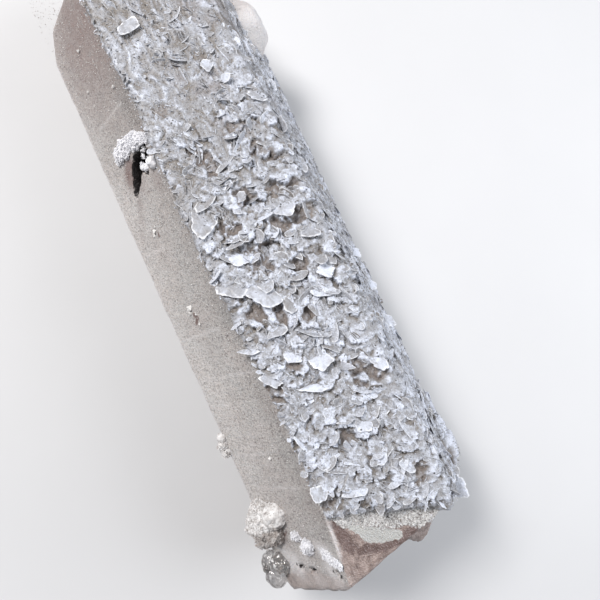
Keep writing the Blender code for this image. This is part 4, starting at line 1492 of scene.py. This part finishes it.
@dataclass(frozen=True)
class Crust:
    """The crust: a scaly bed, its standing plates, large to small, and grains between them."""

    columns: int = 440
    # Places across the crust: share of the rows, share of the crust's width.
    row_shares: Table = ((0.0, 0.64, 0.92, 1.0), (0.0, 6 / 14, 12 / 14, 1.0))
    rows: int = 198
    rows_below: int = 12
    seed: int = 91
    # What the spacings of its plates are counted over, and the shares of it that their places keep to.
    length: float = 108.0
    width: float = 48.0
    along_limits: tuple[float, float] = (0.004, 0.996)
    around_limits: tuple[float, float] = (0.004, 0.99)
    # How many times the thin border goes into its length and width, and how ragged it is.
    borders: tuple[float, float] = (60.0, 34.0)
    ragged: tuple[float, float] = (1.5, 0.9)
    depth_below: float = 0.9
    large_form: PlateForm = PlateForm((0.25, 0.5, 0.7, 0.85, 1.0), 36, 0.08, 0.20)
    plates: PlateLayer = PlateLayer(
        1.7, PlateForm((0.6, 1.0), 12, 0.09, 0.07), (0.08, 0.18), (-0.15, 0.15), 0.62, 0.16, 0.42, 0.4)
    packs: PlateLayer = PlateLayer(
        3.6, PlateForm((0.6, 1.0), 12, 0.09, 0.07), (0.06, 0.12), (-0.1, 0.1), 0.56, 0.24, 0.0, 0.3)
    flakes: PlateLayer = PlateLayer(
        1.25, PlateForm((1.0,), 7, 0.16, 0.04), (0.05, 0.11), (-0.2, 0.2), 0.52, 0.24, 0.0, 0.45)
    pack_count: int = 210
    blades: int = 4
    grain_spacing: float = 0.58

    def bed(self, relief: Relief) -> Surface:
        """A closed profile carried along the crystal: out over the relief and back under the quartz."""
        along = np.linspace(0.0, 1.0, self.columns)[:, None]
        around = np.interp(np.linspace(0.0, 1.0, self.rows), *self.row_shares)[None, :]
        x, u = crust_place(*np.broadcast_arrays(along, around))
        flat = np.stack([x, u, 0.0 * x], -1)
        ends, sides = (np.minimum(share, 1.0 - share) * times
                       for share, times in zip((along, around), self.borders))
        edge = np.clip(np.minimum(ends, sides), 0.0, 1.0)
        x = x + (1.0 - edge) * self.ragged[0] * rough_noise(flat, 3.5, 3, self.seed + 11)
        u = u + (1.0 - edge) * self.ragged[1] * rough_noise(flat, 2.5, 3, self.seed + 12)
        height = np.maximum(relief.at(relief.height, x, u), 0.1) * (0.2 + 0.8 * np.sqrt(edge))
        upper = unrolled(x, u, 0.5 * GAP + height)[0]
        back = np.linspace(self.rows - 1, 0, self.rows_below).round().astype(int)
        lower = unrolled(x[:, back], u[:, back], -self.depth_below)[0]
        rings = np.concatenate([upper, lower], 1)
        poles = rings[(0, -1), :].mean(1)
        points = np.concatenate([poles[:1], rings.reshape(-1, 3), poles[1:]])
        values = {}
        # Tone and brown carry the relief's painted light and shade.
        for name, field in (("tone", relief.tone), ("brown", relief.brown)):
            shown = np.concatenate([relief.at(field, x, u), np.zeros((self.columns, self.rows_below))], 1)
            values[name] = np.concatenate([[0.0], shown.ravel(), [0.0]])
        faces = tube_faces(self.columns, self.rows + self.rows_below)
        return facing_out(Surface(points, faces, values))

    def leading(self, relief: Relief, rng: np.random.Generator) -> Surface:
        """The plates that catch the eye, each in its place."""
        x, u, wide, long, tilt, heading = np.array(LEADING_PLATES, float).T
        count = len(x)
        height = np.maximum(relief.at(relief.height, x, u) + 0.3, 1.2)
        thickness, dish = rng.uniform(0.25, 0.4, count), rng.uniform(-0.08, 0.12, count)
        plates = Plates(
            x, u, height, 0.5 * wide, 0.5 * long, np.radians(tilt), np.radians(heading), thickness, dish,
            np.array(LEADING_TONES), np.zeros(count),
        )
        return plates.surface(self.large_form, rng)

    def spread(self, spacing: float, rng: np.random.Generator) -> tuple[np.ndarray, np.ndarray]:
        """Places over the crust on a shaken grid.

        Args:
            spacing: distance between neighbours.
            rng: where the shaking comes from.

        Returns:
            The places' x and u.
        """
        columns = int(self.length / spacing)
        rows = int(self.width / spacing)
        i, j = np.meshgrid(np.arange(columns), np.arange(rows), indexing="ij")
        along = (i + 0.5 * (j % 2) + rng.uniform(-0.1, 0.9, i.shape)) / (columns + 0.5)
        around = (j + rng.uniform(0.05, 0.95, i.shape)) / rows
        along, around = np.clip(along, *self.along_limits), np.clip(around, *self.around_limits)
        return crust_place(along.ravel(), around.ravel())

    def off_leading(self, x: np.ndarray, u: np.ndarray, share: float) -> np.ndarray:
        """Whether each place is off the leading plates' free halves, by this share of their half sizes."""
        clear = np.ones(len(x), bool)
        for px, pu, wide, long, _, heading in LEADING_PLATES:
            ahead = 0.25 * long
            cx = px + ahead * math.cos(math.radians(heading))
            cu = pu + ahead * math.sin(math.radians(heading))
            clear &= np.hypot(x - cx, u - cu) > share * 0.25 * (wide + long)
        return clear

    def tones(self, x: np.ndarray, u: np.ndarray, middle: float, spread: float,
              rng: np.random.Generator) -> np.ndarray:
        """Tones that drift over the crust and differ from plate to plate."""
        drift = rough_noise(np.stack([x, u, 0.0 * x], -1), 4.0, 3, self.seed + 5)
        return np.clip(middle - 0.10 * dimmed(x) + 0.40 * drift + rng.normal(0.0, spread, len(x)), 0.0, 1.0)

    def stood(self, layer: PlateLayer, relief: Relief, x: np.ndarray, u: np.ndarray, lift: np.ndarray | float,
              wide: np.ndarray, long: np.ndarray, tilt: np.ndarray, heading: np.ndarray,
              rng: np.random.Generator) -> Surface:
        """A layer's plates in their places.

        Args:
            layer: how they are made, and the ranges that their thickness, dish and tone are drawn from.
            relief: what they stand on.
            x: their distances along the axis.
            u: their distances across the faces.
            lift: how far from the relief they are rooted.
            wide: their half widths.
            long: their half lengths.
            tilt: how steeply they rise, in radians.
            heading: the way that they rise.
            rng: where the draws come from.

        Returns:
            All of them as one surface.
        """
        n = len(x)
        height = relief.at(relief.height, x, u) + lift
        thickness, dish = rng.uniform(*layer.thickness, n), rng.uniform(*layer.dish, n)
        tone = np.maximum(self.tones(x, u, layer.tone, layer.tone_spread, rng), layer.tone_floor)
        stand = np.full(n, layer.stand)
        plates = Plates(x, u, height, wide, long, tilt, heading, thickness, dish, tone, stand)
        return plates.surface(layer.form, rng)

    def medium(self, relief: Relief, rng: np.random.Generator) -> Surface:
        """Plates of middling size all over the crust, thinner where it is fine-grained."""
        x, u = self.spread(self.plates.spacing, rng)
        platy = relief.platy(x, u)
        share = (0.25 + 0.45 * platy) * (1.0 - relief.at(relief.round_tops, x, u))
        kept = self.off_leading(x, u, 1.15) & (rng.uniform(size=len(x)) < share)
        kept &= relief.at(relief.brown, x, u) < 0.5
        x, u, platy = x[kept], u[kept], platy[kept]
        n = len(x)
        size = (0.55 + 1.45 * rng.beta(1.2, 2.2, n)) * (0.6 + 0.4 * platy)
        size = size * np.where((u < 3.0) | (u > 40.0), 0.65, 1.0)
        stretch = rng.uniform(0.75, 1.9, n)
        tilt = np.radians(10.0 + 52.0 * rng.beta(1.3, 1.8, n)) * np.where(u > 25.0, 0.4, 1.0)
        heading = usual_heading(rng, n, 0.8)
        return self.stood(self.plates, relief, x, u, -0.1, size * stretch, size / stretch, tilt, heading, rng)

    def fans(self, relief: Relief, rng: np.random.Generator) -> Surface:
        """Packs of parallel blades seen edge on: each pack steps along its own heading."""
        x, u = self.spread(self.packs.spacing, rng)
        chosen = rng.permutation(len(x))[:self.pack_count]
        x, u = x[chosen], u[chosen]
        heading = rng.normal(math.radians(112.0), 0.5, len(x)) - math.pi * (rng.uniform(size=len(x)) < 0.3)
        step = np.cumsum(rng.uniform(0.25, 0.8, (len(x), self.blades)), 1)
        x = (x[:, None] + step * np.cos(heading)[:, None]).ravel()
        u = (u[:, None] + step * np.sin(heading)[:, None]).ravel()
        heading = np.repeat(heading, self.blades) + rng.normal(0.0, 0.22, len(x))
        kept = self.off_leading(x, u, 1.25) & (u > 1.6) & (u < 45.0)
        kept &= rng.uniform(size=len(x)) < 0.85 - 0.85 * relief.at(relief.round_tops, x, u)
        x, u, heading = x[kept], u[kept], heading[kept]
        wide, long = rng.uniform(0.6, 2.1, len(x)), rng.uniform(0.5, 1.0, len(x))
        tilt = np.radians(rng.uniform(40.0, 74.0, len(x)))
        return self.stood(self.packs, relief, x, u, -0.25, wide, long, tilt, heading, rng)

    def chips(self, relief: Relief, rng: np.random.Generator) -> Surface:
        """Small flakes that fill the crust between the others."""
        x, u = self.spread(self.flakes.spacing, rng)
        kept = self.off_leading(x, u, 0.95) | (rng.uniform(size=len(x)) < 0.1)
        kept &= relief.at(relief.brown, x, u) < 0.75
        kept &= rng.uniform(size=len(x)) < 1.0 - 0.96 * relief.at(relief.round_tops, x, u)
        x, u = x[kept], u[kept]
        n = len(x)
        size = 0.20 + 0.50 * rng.beta(1.2, 2.2, n)
        stretch = rng.uniform(0.7, 2.2, n)
        lift = rng.uniform(-0.15, 0.1, n)
        tilt = np.radians(rng.uniform(8.0, 62.0, n)) * np.where(u > 26.0, 0.5, 1.0)
        heading = usual_heading(rng, n, 1.0)
        return self.stood(self.flakes, relief, x, u, lift, size * stretch, size / stretch, tilt, heading, rng)

    def grains(self, relief: Relief, rng: np.random.Generator) -> Surface:
        """Fine grains over the bed."""
        x, u = self.spread(self.grain_spacing, rng)
        n = len(x)
        height = relief.at(relief.height, x, u) + rng.uniform(0.0, 0.12, n)
        sizes = 0.05 + 0.17 * rng.beta(1.2, 2.8, n)
        # Grains darker in the brown, which in the hollows is partly painted shade.
        tone = self.tones(x, u, 0.6, 0.25, rng) * (1.0 - 0.5 * relief.at(relief.brown, x, u))
        return octahedra(unrolled(x, u, 0.5 * GAP + height)[0], sizes, tone, rng)

    def build(self, finish: PearlyPlate) -> None:
        """Write the bed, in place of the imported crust, and the plates on it."""
        rng = np.random.default_rng(self.seed)
        relief = Relief()
        write_piece("crust_bed", self.bed(relief), finish.bed_material(), "pearly_plates", "blade_crust",
                    sharp_degrees=50.0)
        smooth = finish.material("leading_plates", 0.5)
        pearly = finish.material("pearly_plates", 1.0)
        for name, surface, material, sharp in (
            ("crust_leading_plates", self.leading(relief, rng), smooth, 40.0),
            ("crust_plates", self.medium(relief, rng), pearly, 40.0),
            ("crust_fans", self.fans(relief, rng), pearly, 40.0),
            ("crust_chips", self.chips(relief, rng), pearly, 30.0),
            ("crust_grains", self.grains(relief, rng), pearly, 20.0),
        ):
            write_piece(name, surface, material, "pearly_plates", sharp_degrees=sharp)


# ---------------------------------------------------------------- growths on the frosted face


@dataclass(frozen=True)
class Growth:
    """A growth on the frosted face: lumps round one middle, or a bent roll, under rough grains."""

    # x, down, radius of each lump
    lumps: Line
    grain_count: int
    grain_sizes: tuple[float, float]
    roughness: float
    seed: int
    # between these distances along the crystal the growth turns dull, painted shade on that side
    fade: tuple[float, float] = (100.0, 101.0)
    noise_size: float = 1.1
    octaves: int = 4
    low_tone: float = 0.3
    flatness: float = 0.6

    def toned(self, points: np.ndarray, rough: np.ndarray) -> np.ndarray:
        """Tones that follow the roughness, painted shade in its low places, and fall past the fade, painted
        shade on that side.
        """
        along = points[..., 0] + 1.2 * smooth_noise(points, 1.2, self.seed + 9)
        # Painted shade: darker where the rough noise sinks the surface, and duller past the fade.
        return np.clip(1.0 + 0.5 * rough, self.low_tone, 1.0) * (1.0 - 0.7 * smooth_step(*self.fade, along))

    def cluster(self, lumps: Line, rings: int, around: int) -> Surface:
        """Rays from the lumps' middle to the farthest exit from any lump's sphere, made rough by noise.

        Args:
            lumps: x, down and radius of each.
            rings: rings of points from pole to pole.
            around: points to a ring.

        Returns:
            A closed surface with tone.
        """
        x, down, radius = np.array(lumps).T
        middles = on_frosted(x, down, 0.25 * radius)
        centre = np.average(middles, axis=0, weights=radius**2)
        polar = np.pi * (np.arange(rings) + 1.0) / (rings + 1.0)
        turn = 2.0 * np.pi * np.arange(around) / around
        round_axis = np.stack([np.zeros(around), np.cos(turn), np.sin(turn)], -1)
        ring = np.cos(polar)[:, None, None] * X_AXIS + np.sin(polar)[:, None, None] * round_axis
        rays = np.concatenate([[X_AXIS], ring.reshape(-1, 3), [-X_AXIS]])
        to_middle = middles - centre
        along = rays @ to_middle.T
        inside = along**2 - (to_middle**2).sum(-1) + radius**2
        exits = np.where(inside > 0.0, along + np.sqrt(np.maximum(inside, 0.0)), 0.0).max(-1)
        points = centre + exits[:, None] * rays
        rough = rough_noise(points, self.noise_size, self.octaves, self.seed)
        points = points + (self.roughness * rough)[:, None] * rays
        return facing_out(Surface(points, tube_faces(rings, around), {"tone": self.toned(points, rough)}))

    def roll(self, rings: int, around: int) -> Surface:
        """A round profile carried along the bent line through the lumps, its radius following theirs.

        Args:
            rings: profiles along the line.
            around: points to a profile.

        Returns:
            A closed surface with tone.
        """
        x, down, radius = np.array(self.lumps).T
        knots = np.concatenate([[0.0], np.cumsum(np.hypot(np.diff(x), np.diff(down)))])
        at = np.linspace(0.0, knots[-1], rings)
        x, down, radius = (np.interp(at, knots, value) for value in (x, down, radius))
        radius = radius * (0.85 + 0.35 * smooth_noise(np.stack([at, 0 * at, 0 * at], -1), 1.1, self.seed))
        radius = radius * np.sqrt(np.clip(np.minimum(at, knots[-1] - at) / 0.6 + 0.15, 0.0, 1.0))
        radius = radius[:, None]
        along = unit(np.stack([np.gradient(x), np.gradient(down)], -1))
        turn = 2.0 * np.pi * np.arange(around) / around
        side = radius * np.cos(turn)
        up = radius * (np.sin(turn) * self.flatness + 0.1)
        points = on_frosted(x[:, None] - side * along[:, 1:], down[:, None] + side * along[:, :1], up)
        rough = rough_noise(points, 1.0, 4, self.seed + 3)
        out = self.roughness * rough * np.minimum(1.0, radius)
        points = points + out[..., None] * around_axis(Face.FROSTED.value)
        ends = points[(0, -1), :].mean(1)
        tone = np.concatenate([[0.8], self.toned(points, rough).ravel(), [0.8]])
        points = np.concatenate([ends[:1], points.reshape(-1, 3), ends[1:]])
        return facing_out(Surface(points, tube_faces(rings, around), {"tone": tone}))

    def dusted(self, surface: Surface) -> Surface:
        """The surface with grains set on points of it that stand out of the frosted face."""
        rng = np.random.default_rng(self.seed + 7)
        low, high = self.grain_sizes
        height = (surface.points - on_frosted(0.0, 0.0)) @ around_axis(Face.FROSTED.value)
        chosen = rng.choice(np.nonzero(height > 0.1)[0], self.grain_count)
        sizes = low + rng.uniform(0.0, 1.0, self.grain_count) ** 1.8 * (high - low)
        places = surface.points[chosen] + rng.normal(0.0, 0.12, (self.grain_count, 3))
        tones = surface.values["tone"][chosen] * rng.uniform(0.5 + 0.5 * self.low_tone, 1.0, self.grain_count)
        return join([surface, octahedra(places, sizes, tones, rng)])


@dataclass(frozen=True)
class Growths:
    """All the growths on the frosted face."""

    grain_edge: float = 50.0
    # The end knob dulls from x 53.6 to 55.4: painted shade on its side towards the blunt end.
    end_knob: Growth = Growth((
        (51.6, 17.3, 2.5), (53.9, 19.2, 2.8), (52.3, 13.4, 2.4), (56.4, 19.3, 2.4), (55.4, 15.8, 2.3),
        (53.5, 16.6, 2.9)), 1500, (0.10, 0.34), 0.55, 101, (53.6, 55.4))
    glassy_knob: Growth = Growth((
        (62.3, 18.9, 2.2), (64.7, 21.8, 2.2), (62.1, 22.0, 2.0)), 0, (0.0, 0.0), 0.7, 111,
        noise_size=1.8, octaves=2)
    pit_crust: Growth = Growth((
        (-22.2, 13.9, 0.6), (-23.3, 11.8, 1.5), (-23.2, 9.2, 1.8), (-22.7, 6.5, 1.5), (-22.1, 4.2, 1.3),
        (-21.3, 2.2, 1.1), (-20.0, 0.9, 0.7)), 2600, (0.06, 0.24), 0.5, 121, low_tone=0.7, flatness=0.45)
    pit_balls: Growth = Growth((
        (-17.1, 5.4, 0.85), (-16.5, 2.6, 1.15), (-18.9, 4.5, 0.35), (-19.6, 3.4, 0.3), (-18.1, 6.1, 0.25)),
        220, (0.06, 0.18), 0.32, 122)
    end_ridge: Growth = Growth((
        (58.8, 5.4, 0.5), (59.3, 4.3, 0.75), (60.3, 3.3, 0.85), (61.2, 2.3, 0.75), (62.2, 1.6, 0.75),
        (63.2, 1.9, 0.6)), 1500, (0.06, 0.26), 0.8, 131, low_tone=0.5, flatness=0.4)
    ridge_balls: Line = ((56.5, 9.9, 0.95), (58.3, 7.7, 1.2))
    edge_growth: Growth = Growth((
        (35.6, 20.3, 0.9), (37.0, 21.0, 1.1), (38.5, 20.9, 1.0)), 200, (0.1, 0.26), 0.25, 141)

    @staticmethod
    def balls(growth: Growth, lumps: Line) -> list[Surface]:
        """A small cluster at each lump: the lump with a lesser one beside it."""
        pairs = [((x, down, 0.92 * radius), (x + 0.45 * radius, down - 0.25 * radius, 0.7 * radius))
                 for x, down, radius in lumps]
        return [growth.cluster(pair, 24, 40) for pair in pairs]

    def build(self, white: WhiteAggregate, glassy: GlassyGrowth, pearl: WhiteAggregate) -> None:
        """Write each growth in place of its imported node."""
        white_finish = white.material()
        pearl_finish = pearl.material()
        knob, edge, glass = self.end_knob, self.edge_growth, self.glassy_knob
        write_piece("end_knob_dressed", knob.dusted(knob.cluster(knob.lumps, 90, 150)), white_finish,
                    "white_aggregate", "end_knob", sharp_degrees=self.grain_edge)
        write_piece("edge_growth_dressed", edge.dusted(edge.cluster(edge.lumps, 40, 70)), white_finish,
                    "white_aggregate", "edge_growth", sharp_degrees=self.grain_edge)
        write_piece("glassy_knob_dressed", glass.cluster(glass.lumps, 80, 130), glassy.material(),
                    "glassy_growth", "glassy_knob")
        pit, ridge = self.pit_crust, self.end_ridge
        balls = self.pit_balls.dusted(join(self.balls(self.pit_balls, self.pit_balls.lumps)))
        write_piece("pit_crust_dressed", join([pit.dusted(pit.roll(90, 48)), balls]), pearl_finish,
                    "pearly_plates", "pit_crust", sharp_degrees=self.grain_edge)
        frothy = join([ridge.roll(70, 36)] + self.balls(ridge, self.ridge_balls))
        write_piece("end_ridge_dressed", ridge.dusted(frothy), pearl_finish,
                    "pearly_plates", "end_ridge", sharp_degrees=self.grain_edge)


# ---------------------------------------------------------------- studio


@dataclass(frozen=True)
class Studio:
    """A pale floor, soft light, and a camera over the crystal."""

    camera_place: Triple = (22.40, -18.55, 126.87)
    camera_right: Triple = (0.41887724, 0.89039445, 0.17815608)
    camera_down: Triple = (0.9065334, -0.39874523, -0.13856201)
    lens: float = 31.2
    sensor: float = 36.0
    floor_half: float = 1500.0
    floor_drop: float = 0.05
    floor_tones: tuple[Triple, Triple] = ((0.60, 0.60, 0.61), (0.64, 0.64, 0.65))
    # Each light: name, place, size, power, colour.
    lights: tuple[tuple[str, Triple, float, float, Triple], ...] = (
        ("key", (-190.0, -140.0, 330.0), 120.0, 1.75, (1.0, 0.98, 0.96)),
        ("fill", (120.0, 280.0, 220.0), 280.0, 1.15, (0.93, 0.96, 1.0)),
    )
    sky: Triple = (0.93, 0.95, 1.0)
    sky_strength: float = 0.28

    def camera(self) -> None:
        """The camera, turned by its own right and down directions."""
        data = bpy.data.cameras.new("camera")
        data.lens = self.lens
        data.sensor_width = self.sensor
        data.clip_start = 0.005
        right, down = Vector(self.camera_right), Vector(self.camera_down)
        ahead = right.cross(down)
        turn = Matrix((right, -down, -ahead)).transposed().to_4x4()
        camera = bpy.data.objects.new("camera", data)
        camera.matrix_world = Matrix.Translation(Vector(self.camera_place) * MM) @ turn
        bpy.context.scene.collection.objects.link(camera)
        bpy.context.scene.camera = camera

    def light(self, name: str, place: Triple, size: float, power: float, colour: Triple) -> None:
        """A square soft light at a place in millimetres, turned to the crystal."""
        data = bpy.data.lights.new(name, "AREA")
        data.size = size * MM
        data.energy = power
        data.color = colour
        obj = bpy.data.objects.new(name, data)
        obj.location = Vector(place) * MM
        aim = Vector((0.0, 0.0, AXIS_HEIGHT)) * MM - obj.location
        obj.rotation_mode = "QUATERNION"
        obj.rotation_quaternion = aim.to_track_quat("-Z", "Y")
        bpy.context.scene.collection.objects.link(obj)

    def floor(self) -> None:
        """A pale floor just under the resting face."""
        h, z = self.floor_half * MM, -self.floor_drop * MM
        mesh = bpy.data.meshes.new("floor")
        mesh.from_pydata([(-h, -h, z), (h, -h, z), (h, h, z), (-h, h, z)], [], [(0, 1, 2, 3)])
        b = Bench("floor")
        b.feed("Base Color", b.mix(b.noise(40.0), *self.floor_tones))
        b.set(Roughness=0.9)
        mesh.materials.append(b.material)
        obj = bpy.data.objects.new("floor", mesh)
        bpy.context.scene.collection.objects.link(obj)

    def build(self) -> None:
        """Set the camera, the lights, the floor and the surrounding light."""
        self.camera()
        for light in self.lights:
            self.light(*light)
        self.floor()
        world = bpy.data.worlds.new("studio")
        world.use_nodes = True
        background = world.node_tree.nodes["Background"]
        background.inputs["Color"].default_value = (*self.sky, 1.0)
        background.inputs["Strength"].default_value = self.sky_strength
        bpy.context.scene.world = world
        bpy.context.scene.view_settings.view_transform = "Standard"


def main() -> None:
    """Build every sub-assembly and dress it."""
    logging.basicConfig(level=logging.INFO, format="%(message)s")
    Quartz().build(FrostedQuartz())
    FrostGrains().build(WhiteAggregate("frost_grain", (0.74, 0.73, 0.72), (0.42, 0.40, 0.39)))
    Crust().build(PearlyPlate())
    pearl = WhiteAggregate("pearly_growth", (0.84, 0.84, 0.88), (0.48, 0.47, 0.48), 0.1)
    Growths().build(WhiteAggregate(), GlassyGrowth(), pearl)
    Studio().build()


if __name__ == "__main__":
    main()
